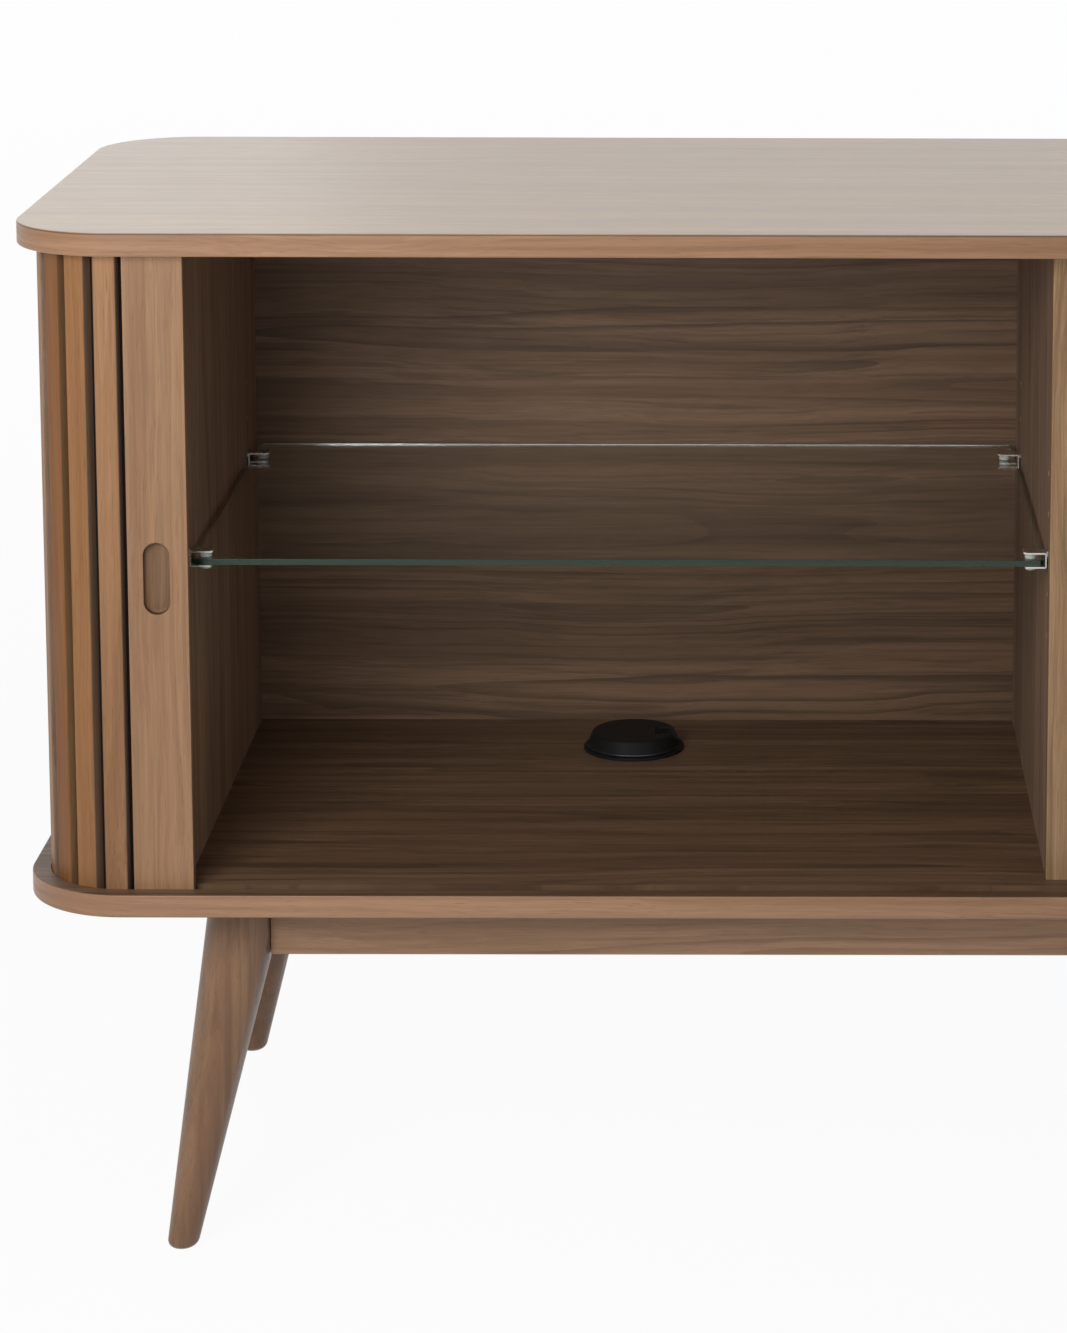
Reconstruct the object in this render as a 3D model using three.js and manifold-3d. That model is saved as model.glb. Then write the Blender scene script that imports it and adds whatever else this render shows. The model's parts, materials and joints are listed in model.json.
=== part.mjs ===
// Media cabinet with two tambour doors: rounded boards, curtains that slide in routed grooves,
// two bays with glass shelves on clips, and an under-frame on splayed legs.
// Millimetres, +Z up. The floor is z = 0, the front faces -Y and x = 0 is the middle.
import * as THREE from 'three';
import { mergeVertices } from 'three/addons/utils/BufferGeometryUtils.js';
import Module from 'manifold-3d';

const wasm = await Module();
wasm.setup();

// ---- driving dimensions ----

const body = {
  width: 1600,
  depth: 520,
  cornerRadius: 80,
  board: 18, // thickness of the top and bottom boards
  opening: 495, // clear height between them
  legHeight: 285, // floor to the underside of the bottom board
  ease: 1.5, // rounding of the boards' long edges
};

const track = {
  inset: 14, // board edge to the groove
  width: 12,
  depthBelow: 8, // in the bottom board
  depthAbove: 10, // in the top board, deeper so that a curtain lifts in and out
};

const curtain = {
  faceClearance: 0.9, // slat face to the outer wall of the groove
  endClearance: 0.5, // curtain to the groove's floor
  liftClearance: 2.5, // curtain to the top of the upper groove
  slatBase: 19,
  slatGap: 2.5, // between the feet of two slats
  slatFace: 17,
  slatThickness: 9.2,
  slatEase: 0.7,
  shoulder: 2.5, // height of the square foot of a slat, next to the canvas
  canvas: 0.7,
  tailLap: 12, // how far a shut curtain's tail stays behind the outer back panel
  runGap: 0.3, // between two modelled lengths of one curtain
};

const stile = {
  width: 46,
  thickness: 10.2,
  gap: 4.2, // stile to the first slat
  ease: 0.8,
  lap: 6.6, // how far the open stile stands past the side panel's inner face
  meetingGap: 0.6, // a shut stile to the middle of the cabinet
  rebateWidth: 7.6, // behind the outer edge, where the canvas is let in
  rebateLip: 2.5, // wood left in front of that rebate
  pullWidth: 20,
  pullLength: 56,
  pullDepth: 7.5,
};

const carcass = {
  panel: 18, // side panels and divider
  frontSetback: 41, // board edge to the front edge of the panels
  sideSetback: 110, // board end to the side panels, room for the curtains to turn the corners
  trackClearance: 8, // inner back panel to the groove
  backPanel: 12,
  panelEase: 0.8,
  outerBack: 3.7,
  outerRebate: 6, // height of the rebate that holds the outer back panel
  outerEndGap: 2, // outer back panel's end to the rounding of the corner
  fitGap: 0.3,
};

const pins = {
  diameter: 5,
  depth: 9,
  pitch: 32,
  count: 5,
  frontSetback: 25, // front edge of a panel to the front column
  backSetback: 62, // inner back panel to the back column
  middle: 252.5, // height of the middle hole over the floor of the bay
};

const glass = {
  thickness: 5,
  sideGap: 6,
  backGap: 4,
  frontSetback: 17,
  cornerClip: 2.5,
};

const clip = {
  width: 14,
  plate: 1.5,
  tabLength: 16,
  tab: 1.2,
  lip: 4,
  pegDiameter: 4.4,
  pegLength: 8,
  pegAboveGlass: 3, // peg's axis over the top of the glass
  upperPad: 4.5,
  lowerPad: 4,
  padLength: 9.5,
  padWidth: 12,
};

const grommet = {
  fromBack: 83, // inner back panel to the grommet's axis
  flangeRadius: 43,
  flange: 2.5,
  flangeBevel: 1,
  sleeveRadius: 38,
  sleeveWall: 1.8,
  sleeveLength: 16,
  holeClearance: 0.5,
  capRadius: 41.5,
  capHeight: 10.5,
  capWall: 2.2,
  capEdge: 2.5,
  capTaper: 2,
  skirtLength: 9,
  skirtGap: 0.3,
  slotWidth: 22,
  slotInner: 18, // axis to the inner end of the slot
  slotEase: 2,
};

const leg = {
  topRadius: 31,
  footRadius: 12,
  footEase: 2.5,
  fromEnd: 168.5, // board end to the axis at the underside of the bottom board
  fromFront: 88, // and from the board's front or back edge
  splayX: 53.5, // how far the foot stands outward of that
  splayY: 39.5,
  flatOffset: 15.5, // axis to the flats that the rails meet
};

const rail = {
  height: 56.5,
  thickness: 22,
  endGap: 0.9,
  ease: 1.2,
  backShift: 10, // the back rail stands this much nearer its edge, clear of the grommets' holes
  blockLeg: 52, // length of a corner block along each rail
  blockHeight: 40,
  blockClearance: 4, // the block's cut corner to the leg
};

// ---- heights and depths that follow from them ----

const halfWidth = body.width / 2;
const halfDepth = body.depth / 2;
const boardBottom = body.legHeight;
const bayFloor = boardBottom + body.board;
const bayCeiling = bayFloor + body.opening;
const top = bayCeiling + body.board;

const panelFront = -halfDepth + carcass.frontSetback;
const outerBackFront = halfDepth - track.inset - track.width;
const innerBackRear = outerBackFront - carcass.trackClearance;
const innerBackFront = innerBackRear - carcass.backPanel;
const bayInner = carcass.panel / 2; // faces of a bay's two walls, from the middle
const bayOuter = halfWidth - carcass.sideSetback - carcass.panel;

const curtainBottom = bayFloor - track.depthBelow + curtain.endClearance;
const curtainTop = bayCeiling + track.depthAbove - curtain.liftClearance;

const glassTop = bayFloor + pins.middle - clip.pegAboveGlass;
const glassFront = panelFront + glass.frontSetback;
const glassBack = innerBackFront - glass.backGap;
const pinRows = [panelFront + pins.frontSetback, innerBackFront - pins.backSetback];

const colours = {
  walnutTop: { color: 0xa58468, roughness: 0.5, metalness: 0 },
  walnut: { color: 0x8f6a4c, roughness: 0.5, metalness: 0 },
  walnutInside: { color: 0x6e4f38, roughness: 0.55, metalness: 0 },
  walnutLeg: { color: 0x6f4b32, roughness: 0.5, metalness: 0 },
  backPanel: { color: 0x5f4634, roughness: 0.65, metalness: 0 },
  glassShelf: { color: 0xbfd8cc, roughness: 0.05, metalness: 0, transparent: true, opacity: 0.35 },
  plated: { color: 0xc8c8c4, roughness: 0.25, metalness: 1 },
  softPad: { color: 0xe9e9e4, roughness: 0.5, metalness: 0 },
  blackPlastic: { color: 0x1c1d1f, roughness: 0.4, metalness: 0 },
};

const cabinet = new THREE.Group();

// ---- solids ----

function asManifold(geometry) {
  const plain = geometry.clone();
  plain.deleteAttribute('normal');
  plain.deleteAttribute('uv');
  const merged = mergeVertices(plain, 1e-4);
  const mesh = new wasm.Mesh({
    numProp: 3,
    vertProperties: new Float32Array(merged.attributes.position.array),
    triVerts: new Uint32Array(merged.index.array),
  });
  return new wasm.Manifold(mesh);
}

function fromManifold(solid) {
  const mesh = solid.getMesh();
  const geometry = new THREE.BufferGeometry();
  geometry.setAttribute('position', new THREE.Float32BufferAttribute(mesh.vertProperties, 3));
  geometry.setIndex(new THREE.BufferAttribute(new Uint32Array(mesh.triVerts), 1));
  geometry.computeVertexNormals();
  return geometry;
}

function cut(geometry, ...tools) {
  const solid = tools.reduce((rest, tool) => rest.subtract(asManifold(tool)), asManifold(geometry));
  return fromManifold(solid);
}

function join(geometry, ...others) {
  const solid = others.reduce((sum, other) => sum.add(asManifold(other)), asManifold(geometry));
  return fromManifold(solid);
}

function addPart(name, geometry, look) {
  const mesh = new THREE.Mesh(geometry, new THREE.MeshStandardMaterial(colours[look]));
  mesh.name = name;
  cabinet.add(mesh);
  return mesh;
}

// A left-right mirror image, with its faces turned to point out again.
function mirrored(geometry) {
  const copy = geometry.clone().applyMatrix4(new THREE.Matrix4().makeScale(-1, 1, 1));
  return turnedRound(copy);
}

// A front-back mirror image.
function mirroredInDepth(geometry) {
  const copy = geometry.clone().applyMatrix4(new THREE.Matrix4().makeScale(1, -1, 1));
  return turnedRound(copy);
}

function turnedRound(geometry) {
  const whole = geometry.index ? geometry : mergeVertices(geometry);
  const index = whole.index.array;
  for (let i = 0; i < index.length; i += 3) {
    [index[i + 1], index[i + 2]] = [index[i + 2], index[i + 1]];
  }
  whole.computeVertexNormals();
  return whole;
}

function box(x0, x1, y0, y1, z0, z1) {
  const geometry = new THREE.BoxGeometry(x1 - x0, y1 - y0, z1 - z0);
  return geometry.translate((x0 + x1) / 2, (y0 + y1) / 2, (z0 + z1) / 2);
}

function rod(radius, length, segments = 32) {
  return new THREE.CylinderGeometry(radius, radius, length, segments);
}

function outline(points) {
  return new THREE.Shape(points.map(([x, y]) => new THREE.Vector2(x, y)));
}

// A rectangle round the middle of the cabinet, all its corners rounded.
function roundedRectangle(halfX, halfY, radius) {
  const shape = new THREE.Shape();
  shape.moveTo(halfX - radius, -halfY);
  shape.absarc(halfX - radius, -halfY + radius, radius, -Math.PI / 2, 0);
  shape.absarc(halfX - radius, halfY - radius, radius, 0, Math.PI / 2);
  shape.absarc(-halfX + radius, halfY - radius, radius, Math.PI / 2, Math.PI);
  shape.absarc(-halfX + radius, -halfY + radius, radius, Math.PI, Math.PI * 1.5);
  shape.closePath();
  return shape;
}

function upright(shape, z0, z1) {
  const geometry = new THREE.ExtrudeGeometry(shape, {
    depth: z1 - z0,
    bevelEnabled: false,
    curveSegments: 8,
  });
  return geometry.translate(0, 0, z0);
}

// A rectangle with its four corners cut off at 45 degrees.
function easedRectangle(x0, x1, y0, y1, ease) {
  return outline([
    [x0 + ease, y0],
    [x1 - ease, y0],
    [x1, y0 + ease],
    [x1, y1 - ease],
    [x1 - ease, y1],
    [x0 + ease, y1],
    [x0, y1 - ease],
    [x0, y0 + ease],
  ]);
}

// ---- top and bottom boards ----

function boardSlab(z0) {
  const geometry = new THREE.ExtrudeGeometry(
    roundedRectangle(halfWidth, halfDepth, body.cornerRadius),
    {
      depth: body.board - 2 * body.ease,
      bevelThickness: body.ease,
      bevelSize: body.ease,
      bevelOffset: -body.ease,
      bevelSegments: 2,
      curveSegments: 8,
    },
  );
  return geometry.translate(0, 0, z0 + body.ease);
}

// The routed groove runs all round, parallel to the board's edge.
function groove(z0, z1) {
  const inset = track.inset;
  const inner = inset + track.width;
  const ring = roundedRectangle(halfWidth - inset, halfDepth - inset, body.cornerRadius - inset);
  ring.holes.push(
    roundedRectangle(halfWidth - inner, halfDepth - inner, body.cornerRadius - inner),
  );
  return upright(ring, z0, z1);
}

const outerBackHalf = halfWidth - body.cornerRadius - carcass.outerEndGap;

function backRebate(z0, z1) {
  const depth = carcass.outerBack + carcass.fitGap;
  return box(
    -outerBackHalf - carcass.fitGap,
    outerBackHalf + carcass.fitGap,
    halfDepth - depth,
    halfDepth + 1,
    z0,
    z1,
  );
}

const grommetX = (bayInner + bayOuter) / 2;
const grommetY = innerBackFront - grommet.fromBack;

function grommetHole(x) {
  const tool = rod(grommet.sleeveRadius + grommet.holeClearance, body.board + 4, 40);
  return tool.rotateX(Math.PI / 2).translate(x, grommetY, bayFloor - body.board / 2);
}

addPart(
  'top_board',
  cut(
    boardSlab(bayCeiling),
    groove(bayCeiling - 1, bayCeiling + track.depthAbove),
    backRebate(bayCeiling - 1, bayCeiling + carcass.outerRebate),
  ),
  'walnutTop',
);

addPart(
  'bottom_board',
  cut(
    boardSlab(boardBottom),
    groove(bayFloor - track.depthBelow, bayFloor + 1),
    backRebate(bayFloor - carcass.outerRebate, bayFloor + 1),
    grommetHole(-grommetX),
    grommetHole(grommetX),
  ),
  'walnut',
);

// ---- carcass panels ----

// Blind holes for shelf pins in the face at x, drilled towards -X or +X.
function pinHoles(x, direction) {
  const holes = [];
  for (const y of pinRows) {
    for (let i = 0; i < pins.count; i += 1) {
      const z = bayFloor + pins.middle + (i - (pins.count - 1) / 2) * pins.pitch;
      const drill = rod(pins.diameter / 2, pins.depth + 1, 10).rotateZ(Math.PI / 2);
      holes.push(drill.translate(x + (direction * (pins.depth - 1)) / 2, y, z));
    }
  }
  return holes;
}

function uprightPanel(x0, x1) {
  const section = easedRectangle(x0, x1, panelFront, innerBackFront, carcass.panelEase);
  return upright(section, bayFloor, bayCeiling);
}

const sidePanel = cut(
  uprightPanel(-bayOuter - carcass.panel, -bayOuter),
  ...pinHoles(-bayOuter, -1),
);
addPart('side_panel_left', sidePanel, 'walnutInside');
addPart('side_panel_right', mirrored(sidePanel), 'walnutInside');

addPart(
  'centre_divider',
  cut(uprightPanel(-bayInner, bayInner), ...pinHoles(-bayInner, 1), ...pinHoles(bayInner, -1)),
  'walnutInside',
);

addPart(
  'inner_back_panel',
  box(
    -bayOuter - carcass.panel,
    bayOuter + carcass.panel,
    innerBackFront,
    innerBackRear,
    bayFloor,
    bayCeiling,
  ),
  'walnutInside',
);

addPart(
  'outer_back_panel',
  box(
    -outerBackHalf,
    outerBackHalf,
    halfDepth - carcass.outerBack,
    halfDepth,
    bayFloor - carcass.outerRebate + carcass.fitGap,
    bayCeiling + carcass.outerRebate - carcass.fitGap,
  ),
  'backPanel',
);

// ---- tambour doors ----

// The line where the slats meet the canvas, for the left curtain: along the front from the middle,
// round the front corner, along the side, round the back corner and along the back.
const baseInset = track.inset + curtain.faceClearance + curtain.slatThickness;
const baseRadius = body.cornerRadius - baseInset;
const quarterTurn = (baseRadius * Math.PI) / 2;
const frontRun = halfWidth - body.cornerRadius;
const sideRun = body.depth - 2 * body.cornerRadius;
const frontCornerEnd = frontRun + quarterTurn;
const sideEnd = frontCornerEnd + sideRun;
const backCornerEnd = sideEnd + quarterTurn;

// The place at distance s along that line, and the direction out of the cabinet there.
function alongTrack(s) {
  const cornerX = -halfWidth + body.cornerRadius;
  const cornerY = halfDepth - body.cornerRadius;
  const side = -halfWidth + baseInset;
  const front = -halfDepth + baseInset;
  if (s <= frontRun) return { x: -s, y: front, angle: 0 };
  if (s <= frontCornerEnd) {
    const angle = (s - frontRun) / baseRadius;
    return {
      x: cornerX - baseRadius * Math.sin(angle),
      y: -cornerY - baseRadius * Math.cos(angle),
      angle,
    };
  }
  if (s <= sideEnd) return { x: side, y: -cornerY + (s - frontCornerEnd), angle: Math.PI / 2 };
  if (s <= backCornerEnd) {
    const angle = Math.PI / 2 + (s - sideEnd) / baseRadius;
    return {
      x: cornerX - baseRadius * Math.sin(angle),
      y: cornerY - baseRadius * Math.cos(angle),
      angle,
    };
  }
  return { x: cornerX + (s - backCornerEnd), y: -front, angle: Math.PI };
}

// A point at a distance along the track's tangent and out of it, from the place at s.
function offTrack(s, along, out) {
  const place = alongTrack(s);
  const sin = Math.sin(place.angle);
  const cos = Math.cos(place.angle);
  return [place.x - along * cos - out * sin, place.y + along * sin - out * cos];
}

// Half a slat's section: distance from its middle, and height over the canvas.
const slatProfile = [
  [curtain.slatBase / 2, 0],
  [curtain.slatBase / 2, curtain.shoulder],
  [curtain.slatFace / 2 + 0.3, curtain.slatThickness - curtain.slatEase],
  [curtain.slatFace / 2 - 0.4, curtain.slatThickness],
];

// One length of curtain: slats on their canvas, from the first slat's middle at s.
function curtainRun(first, count) {
  const outer = [];
  const inner = [];
  const half = slatPitch / 2 - curtain.runGap / 2;
  for (let i = 0; i < count; i += 1) {
    const s = first + i * slatPitch;
    for (const [along, out] of slatProfile) outer.push(offTrack(s, -along, out));
    for (const [along, out] of [...slatProfile].reverse()) outer.push(offTrack(s, along, out));
    inner.push(offTrack(s, -half, -curtain.canvas), offTrack(s, half, -curtain.canvas));
  }
  return upright(outline([...outer, ...inner.reverse()]), curtainBottom, curtainTop);
}

const slatPitch = curtain.slatBase + curtain.slatGap;
const stileEdge = bayOuter - stile.lap; // inner edge of an open stile, from the middle
const stileOuter = stileEdge + stile.width;
const travel = stileEdge - stile.meetingGap;
const firstSlat = stileOuter + stile.gap + curtain.slatFace / 2;
const curtainEnd = backCornerEnd + carcass.outerEndGap + curtain.tailLap + travel;
const slatCount = Math.ceil((curtainEnd - firstSlat) / slatPitch);

// Each curtain is modelled in four lengths that meet in the gaps between slats.
const runEnds = [
  ['front_corner', frontCornerEnd],
  ['side', sideEnd],
  ['back_corner', backCornerEnd],
  ['back', Infinity],
];
let slat = 0;
for (const [place, end] of runEnds) {
  const start = firstSlat + slat * slatPitch;
  const room = Math.ceil((end - start) / slatPitch);
  const count = Math.min(room, slatCount - slat);
  const run = curtainRun(start, count);
  addPart(`tambour_left_${place}`, run, 'walnut');
  addPart(`tambour_right_${place}`, mirrored(run), 'walnut');
  slat += count;
}

const stileFace = -halfDepth + track.inset + curtain.faceClearance;
const pullHeight = (bayFloor + bayCeiling) / 2;

function fingerPull() {
  const r = stile.pullWidth / 2;
  const straight = stile.pullLength / 2 - r;
  const shape = new THREE.Shape();
  shape.absarc(0, straight, r, 0, Math.PI);
  shape.absarc(0, -straight, r, Math.PI, Math.PI * 2);
  shape.closePath();
  const tool = new THREE.ExtrudeGeometry(shape, {
    depth: stile.pullDepth + 1,
    bevelEnabled: false,
    curveSegments: 8,
  });
  tool.rotateX(Math.PI / 2).translate(0, stile.pullDepth, 0);
  return tool.translate(-(stileEdge + stileOuter) / 2, stileFace, pullHeight);
}

const canvasRebate = box(
  -stileOuter - 1,
  -stileOuter + stile.rebateWidth,
  stileFace + stile.rebateLip,
  stileFace + stile.thickness + 1,
  curtainBottom - 1,
  curtainTop + 1,
);

const stileBar = cut(
  upright(
    easedRectangle(
      -stileOuter,
      -stileEdge,
      stileFace,
      stileFace + stile.thickness,
      stile.ease,
    ),
    curtainBottom,
    curtainTop,
  ),
  fingerPull(),
  canvasRebate,
);
addPart('door_stile_left', stileBar, 'walnut');
addPart('door_stile_right', mirrored(stileBar), 'walnut');

// ---- glass shelves on clips ----

const glassLeft = -bayOuter + glass.sideGap;
const glassRight = -bayInner - glass.sideGap;
const shelf = upright(
  easedRectangle(glassLeft, glassRight, glassFront, glassBack, glass.cornerClip),
  glassTop - glass.thickness,
  glassTop,
);
addPart('glass_shelf_left', shelf, 'glassShelf');
addPart('glass_shelf_right', mirrored(shelf), 'glassShelf');

const glassBottom = glassTop - glass.thickness;
const pegZ = glassTop + clip.pegAboveGlass;
const upperTabZ = glassTop + clip.upperPad;
const lowerTabZ = glassBottom - clip.lowerPad - clip.tab;

// A clip on a wall at x = 0 that faces +X, round y = 0: a bent strip with its peg.
function clipBracket() {
  const { plate, tab, tabLength, lip, width } = clip;
  const strip = outline([
    [0, lowerTabZ],
    [tabLength - 2, lowerTabZ],
    [tabLength - 2, lowerTabZ + tab],
    [plate, lowerTabZ + tab],
    [plate, upperTabZ],
    [tabLength, upperTabZ],
    [tabLength + lip * 0.75, upperTabZ + lip],
    [tabLength + lip * 0.75 - tab, upperTabZ + lip],
    [tabLength - tab * 0.6, upperTabZ + tab],
    [0, upperTabZ + tab],
  ]);
  const bracket = new THREE.ExtrudeGeometry(strip, { depth: width, bevelEnabled: false });
  bracket.rotateX(Math.PI / 2).translate(0, width / 2, 0);
  const peg = rod(clip.pegDiameter / 2, clip.pegLength + 1, 10).rotateZ(Math.PI / 2);
  peg.translate(-(clip.pegLength - 1) / 2, 0, pegZ);
  return join(bracket, peg);
}

function pad(height, z0) {
  const x0 = clip.tabLength - 3 - clip.padLength;
  const half = clip.padWidth / 2;
  return upright(easedRectangle(x0, x0 + clip.padLength, -half, half, 1.5), z0, z0 + height);
}

const clipParts = [
  ['shelf_clip', clipBracket(), 'plated'],
  ['upper_pad', pad(clip.upperPad, glassTop), 'softPad'],
  ['lower_pad', pad(clip.lowerPad, glassBottom - clip.lowerPad), 'softPad'],
];
const walls = [
  ['left_bay_outer', -bayOuter, 1],
  ['left_bay_inner', -bayInner, -1],
  ['right_bay_inner', bayInner, 1],
  ['right_bay_outer', bayOuter, -1],
];
for (const [place, x, facing] of walls) {
  pinRows.forEach((y, row) => {
    const end = row === 0 ? 'front' : 'back';
    for (const [kind, geometry, look] of clipParts) {
      const turned = facing === 1 ? geometry.clone() : mirrored(geometry);
      addPart(`${kind}_${place}_${end}`, turned.translate(x, y, 0), look);
    }
  });
}

// ---- cable grommets ----

function lathe(points, segments = 40) {
  const profile = points.map(([r, z]) => new THREE.Vector2(r, z));
  profile.push(profile[0].clone());
  return new THREE.LatheGeometry(profile, segments).rotateX(Math.PI / 2);
}

const sleeveInner = grommet.sleeveRadius - grommet.sleeveWall;
const ring = lathe([
  [sleeveInner, -grommet.sleeveLength],
  [grommet.sleeveRadius, -grommet.sleeveLength],
  [grommet.sleeveRadius, 0],
  [grommet.flangeRadius, 0],
  [grommet.flangeRadius, grommet.flange - grommet.flangeBevel],
  [grommet.flangeRadius - grommet.flangeBevel, grommet.flange],
  [sleeveInner, grommet.flange],
]);

function capSolid() {
  const { capRadius, capHeight, capWall, capEdge, capTaper, flange, skirtLength } = grommet;
  const seat = flange + grommet.skirtGap;
  const crown = seat + capHeight;
  const skirt = sleeveInner - grommet.skirtGap;
  const bodyOfCap = new THREE.LatheGeometry(
    [
      [0, crown - capWall],
      [skirt - capWall, crown - capWall],
      [skirt - capWall, flange - skirtLength],
      [skirt, flange - skirtLength],
      [skirt, seat],
      [capRadius, seat],
      [capRadius - capTaper, crown - capEdge],
      [capRadius - capTaper - capEdge * 0.3, crown - capEdge * 0.3],
      [capRadius - capTaper - capEdge, crown],
      [0, crown],
    ].map(([r, z]) => new THREE.Vector2(r, z)),
    40,
  ).rotateX(Math.PI / 2);
  const half = grommet.slotWidth / 2;
  const slot = easedRectangle(
    grommet.slotInner,
    capRadius + grommet.slotEase + 1,
    -half,
    half,
    grommet.slotEase,
  );
  return cut(bodyOfCap, upright(slot, flange - skirtLength - 1, crown + 1));
}

const cap = capSolid();
for (const [side, x] of [
  ['left', -grommetX],
  ['right', grommetX],
]) {
  addPart(`grommet_ring_${side}`, ring.clone().translate(x, grommetY, bayFloor), 'blackPlastic');
  addPart(`grommet_cap_${side}`, cap.clone().translate(x, grommetY, bayFloor), 'blackPlastic');
}

// ---- under-frame ----

const legX = -halfWidth + leg.fromEnd;
const legY = -halfDepth + leg.fromFront;
const legFlatX = legX + leg.flatOffset;
const legFlatY = legY + leg.flatOffset;

// A leg with round, level sections that shrink towards the foot, leaning out both ways,
// and two upright flats where the rails meet it. This one is the front left.
function legSolid() {
  const legTop = boardBottom - carcass.fitGap;
  const { topRadius, footRadius, footEase, splayX, splayY } = leg;
  const grow = (topRadius - footRadius) / boardBottom;
  const profile = [
    [0, 0],
    [footRadius - footEase, 0],
    [footRadius - footEase * 0.3, footEase * 0.3],
    [footRadius + grow * footEase, footEase],
    [footRadius + grow * legTop, legTop],
    [0, legTop],
  ].map(([r, z]) => new THREE.Vector2(r, z));
  const straight = new THREE.LatheGeometry(profile, 40).rotateX(Math.PI / 2);
  const lean = new THREE.Matrix4().set(
    1, 0, splayX / boardBottom, legX - splayX,
    0, 1, splayY / boardBottom, legY - splayY,
    0, 0, 1, 0,
    0, 0, 0, 1,
  );
  straight.applyMatrix4(lean);
  const reach = 2 * topRadius;
  return cut(
    straight,
    box(legFlatX, legFlatX + reach, -halfDepth, 0, 0, boardBottom + 1),
    box(-halfWidth, 0, legFlatY, legFlatY + reach, 0, boardBottom + 1),
  );
}

const frontLeftLeg = legSolid();
addPart('leg_front_left', frontLeftLeg, 'walnutLeg');
addPart('leg_front_right', mirrored(frontLeftLeg), 'walnutLeg');
addPart('leg_back_left', mirroredInDepth(frontLeftLeg), 'walnutLeg');
addPart('leg_back_right', mirroredInDepth(mirrored(frontLeftLeg)), 'walnutLeg');

const railBottom = boardBottom - rail.height;
const railFront = legY - rail.thickness / 2;
const longRailHalf = -legFlatX - rail.endGap;
const longRailSection = easedRectangle(
  railFront,
  railFront + rail.thickness,
  railBottom,
  boardBottom,
  rail.ease,
);
const longRail = new THREE.ExtrudeGeometry(longRailSection, {
  depth: 2 * longRailHalf,
  bevelEnabled: false,
});
longRail.rotateX(Math.PI / 2).rotateZ(Math.PI / 2).translate(-longRailHalf, 0, 0);
addPart('rail_front', longRail, 'walnut');
addPart('rail_back', mirroredInDepth(longRail).translate(0, rail.backShift, 0), 'walnut');

const sideRailX = legX - rail.thickness / 2;
const sideRailHalf = -legFlatY - rail.endGap;
const sideRailSection = easedRectangle(
  sideRailX,
  sideRailX + rail.thickness,
  railBottom,
  boardBottom,
  rail.ease,
);
const sideRail = new THREE.ExtrudeGeometry(sideRailSection, {
  depth: 2 * sideRailHalf,
  bevelEnabled: false,
});
sideRail.rotateX(Math.PI / 2).translate(0, sideRailHalf, 0);
addPart('rail_side_left', sideRail, 'walnut');
addPart('rail_side_right', mirrored(sideRail), 'walnut');

// A glue block in a front left corner of the frame, its tip cut off to clear the leg.
function cornerBlock(longRailFace) {
  const x = sideRailX + rail.thickness + carcass.fitGap;
  const y = longRailFace + carcass.fitGap;
  const tip = legFlatX - x + (legFlatY - y) + rail.blockClearance * Math.SQRT2;
  const shape = outline([
    [x + tip, y],
    [x + rail.blockLeg, y],
    [x, y + rail.blockLeg],
    [x, y + tip],
  ]);
  return upright(shape, boardBottom - rail.blockHeight, boardBottom);
}

const longRailFace = railFront + rail.thickness;
const frontBlock = cornerBlock(longRailFace);
const backBlock = mirroredInDepth(cornerBlock(longRailFace - rail.backShift));
addPart('corner_block_front_left', frontBlock, 'backPanel');
addPart('corner_block_front_right', mirrored(frontBlock), 'backPanel');
addPart('corner_block_back_left', backBlock, 'backPanel');
addPart('corner_block_back_right', mirrored(backBlock), 'backPanel');

export default cabinet;
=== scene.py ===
import bmesh
import bpy
import json
import math
import random
from mathutils import Matrix, Vector
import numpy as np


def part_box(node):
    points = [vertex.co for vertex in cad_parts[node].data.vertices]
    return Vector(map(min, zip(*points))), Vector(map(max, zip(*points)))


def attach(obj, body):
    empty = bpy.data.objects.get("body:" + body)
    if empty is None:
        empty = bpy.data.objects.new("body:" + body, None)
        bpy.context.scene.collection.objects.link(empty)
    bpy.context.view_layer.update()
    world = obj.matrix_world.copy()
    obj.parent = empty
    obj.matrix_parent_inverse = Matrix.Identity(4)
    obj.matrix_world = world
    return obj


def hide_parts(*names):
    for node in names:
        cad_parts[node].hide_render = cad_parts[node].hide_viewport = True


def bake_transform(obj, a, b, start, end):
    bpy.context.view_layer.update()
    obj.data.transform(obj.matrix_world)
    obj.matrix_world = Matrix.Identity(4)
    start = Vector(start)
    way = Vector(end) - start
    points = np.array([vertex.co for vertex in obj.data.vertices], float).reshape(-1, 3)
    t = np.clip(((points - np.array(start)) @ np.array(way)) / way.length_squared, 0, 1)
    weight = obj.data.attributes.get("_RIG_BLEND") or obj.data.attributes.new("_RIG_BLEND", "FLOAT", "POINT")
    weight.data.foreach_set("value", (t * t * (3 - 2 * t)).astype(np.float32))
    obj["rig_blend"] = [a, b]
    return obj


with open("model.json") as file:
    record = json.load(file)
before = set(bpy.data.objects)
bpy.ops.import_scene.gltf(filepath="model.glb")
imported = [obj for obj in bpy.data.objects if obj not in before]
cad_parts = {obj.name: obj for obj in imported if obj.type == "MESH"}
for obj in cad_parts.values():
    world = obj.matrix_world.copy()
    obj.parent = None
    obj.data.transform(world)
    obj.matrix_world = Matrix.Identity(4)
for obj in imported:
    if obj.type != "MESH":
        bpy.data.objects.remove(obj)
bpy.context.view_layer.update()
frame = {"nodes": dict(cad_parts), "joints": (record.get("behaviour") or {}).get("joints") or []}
print("frame loaded,", len(frame["nodes"]), "nodes")

view = {
    "place": (-0.2236, -3.1658, 1.2979),
    "turn": (81.621, -0.164, -0.158),  # degrees about x, y and z
    "lens": 106.61,
    "shift": (-0.1874, -0.3774),
}

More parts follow.
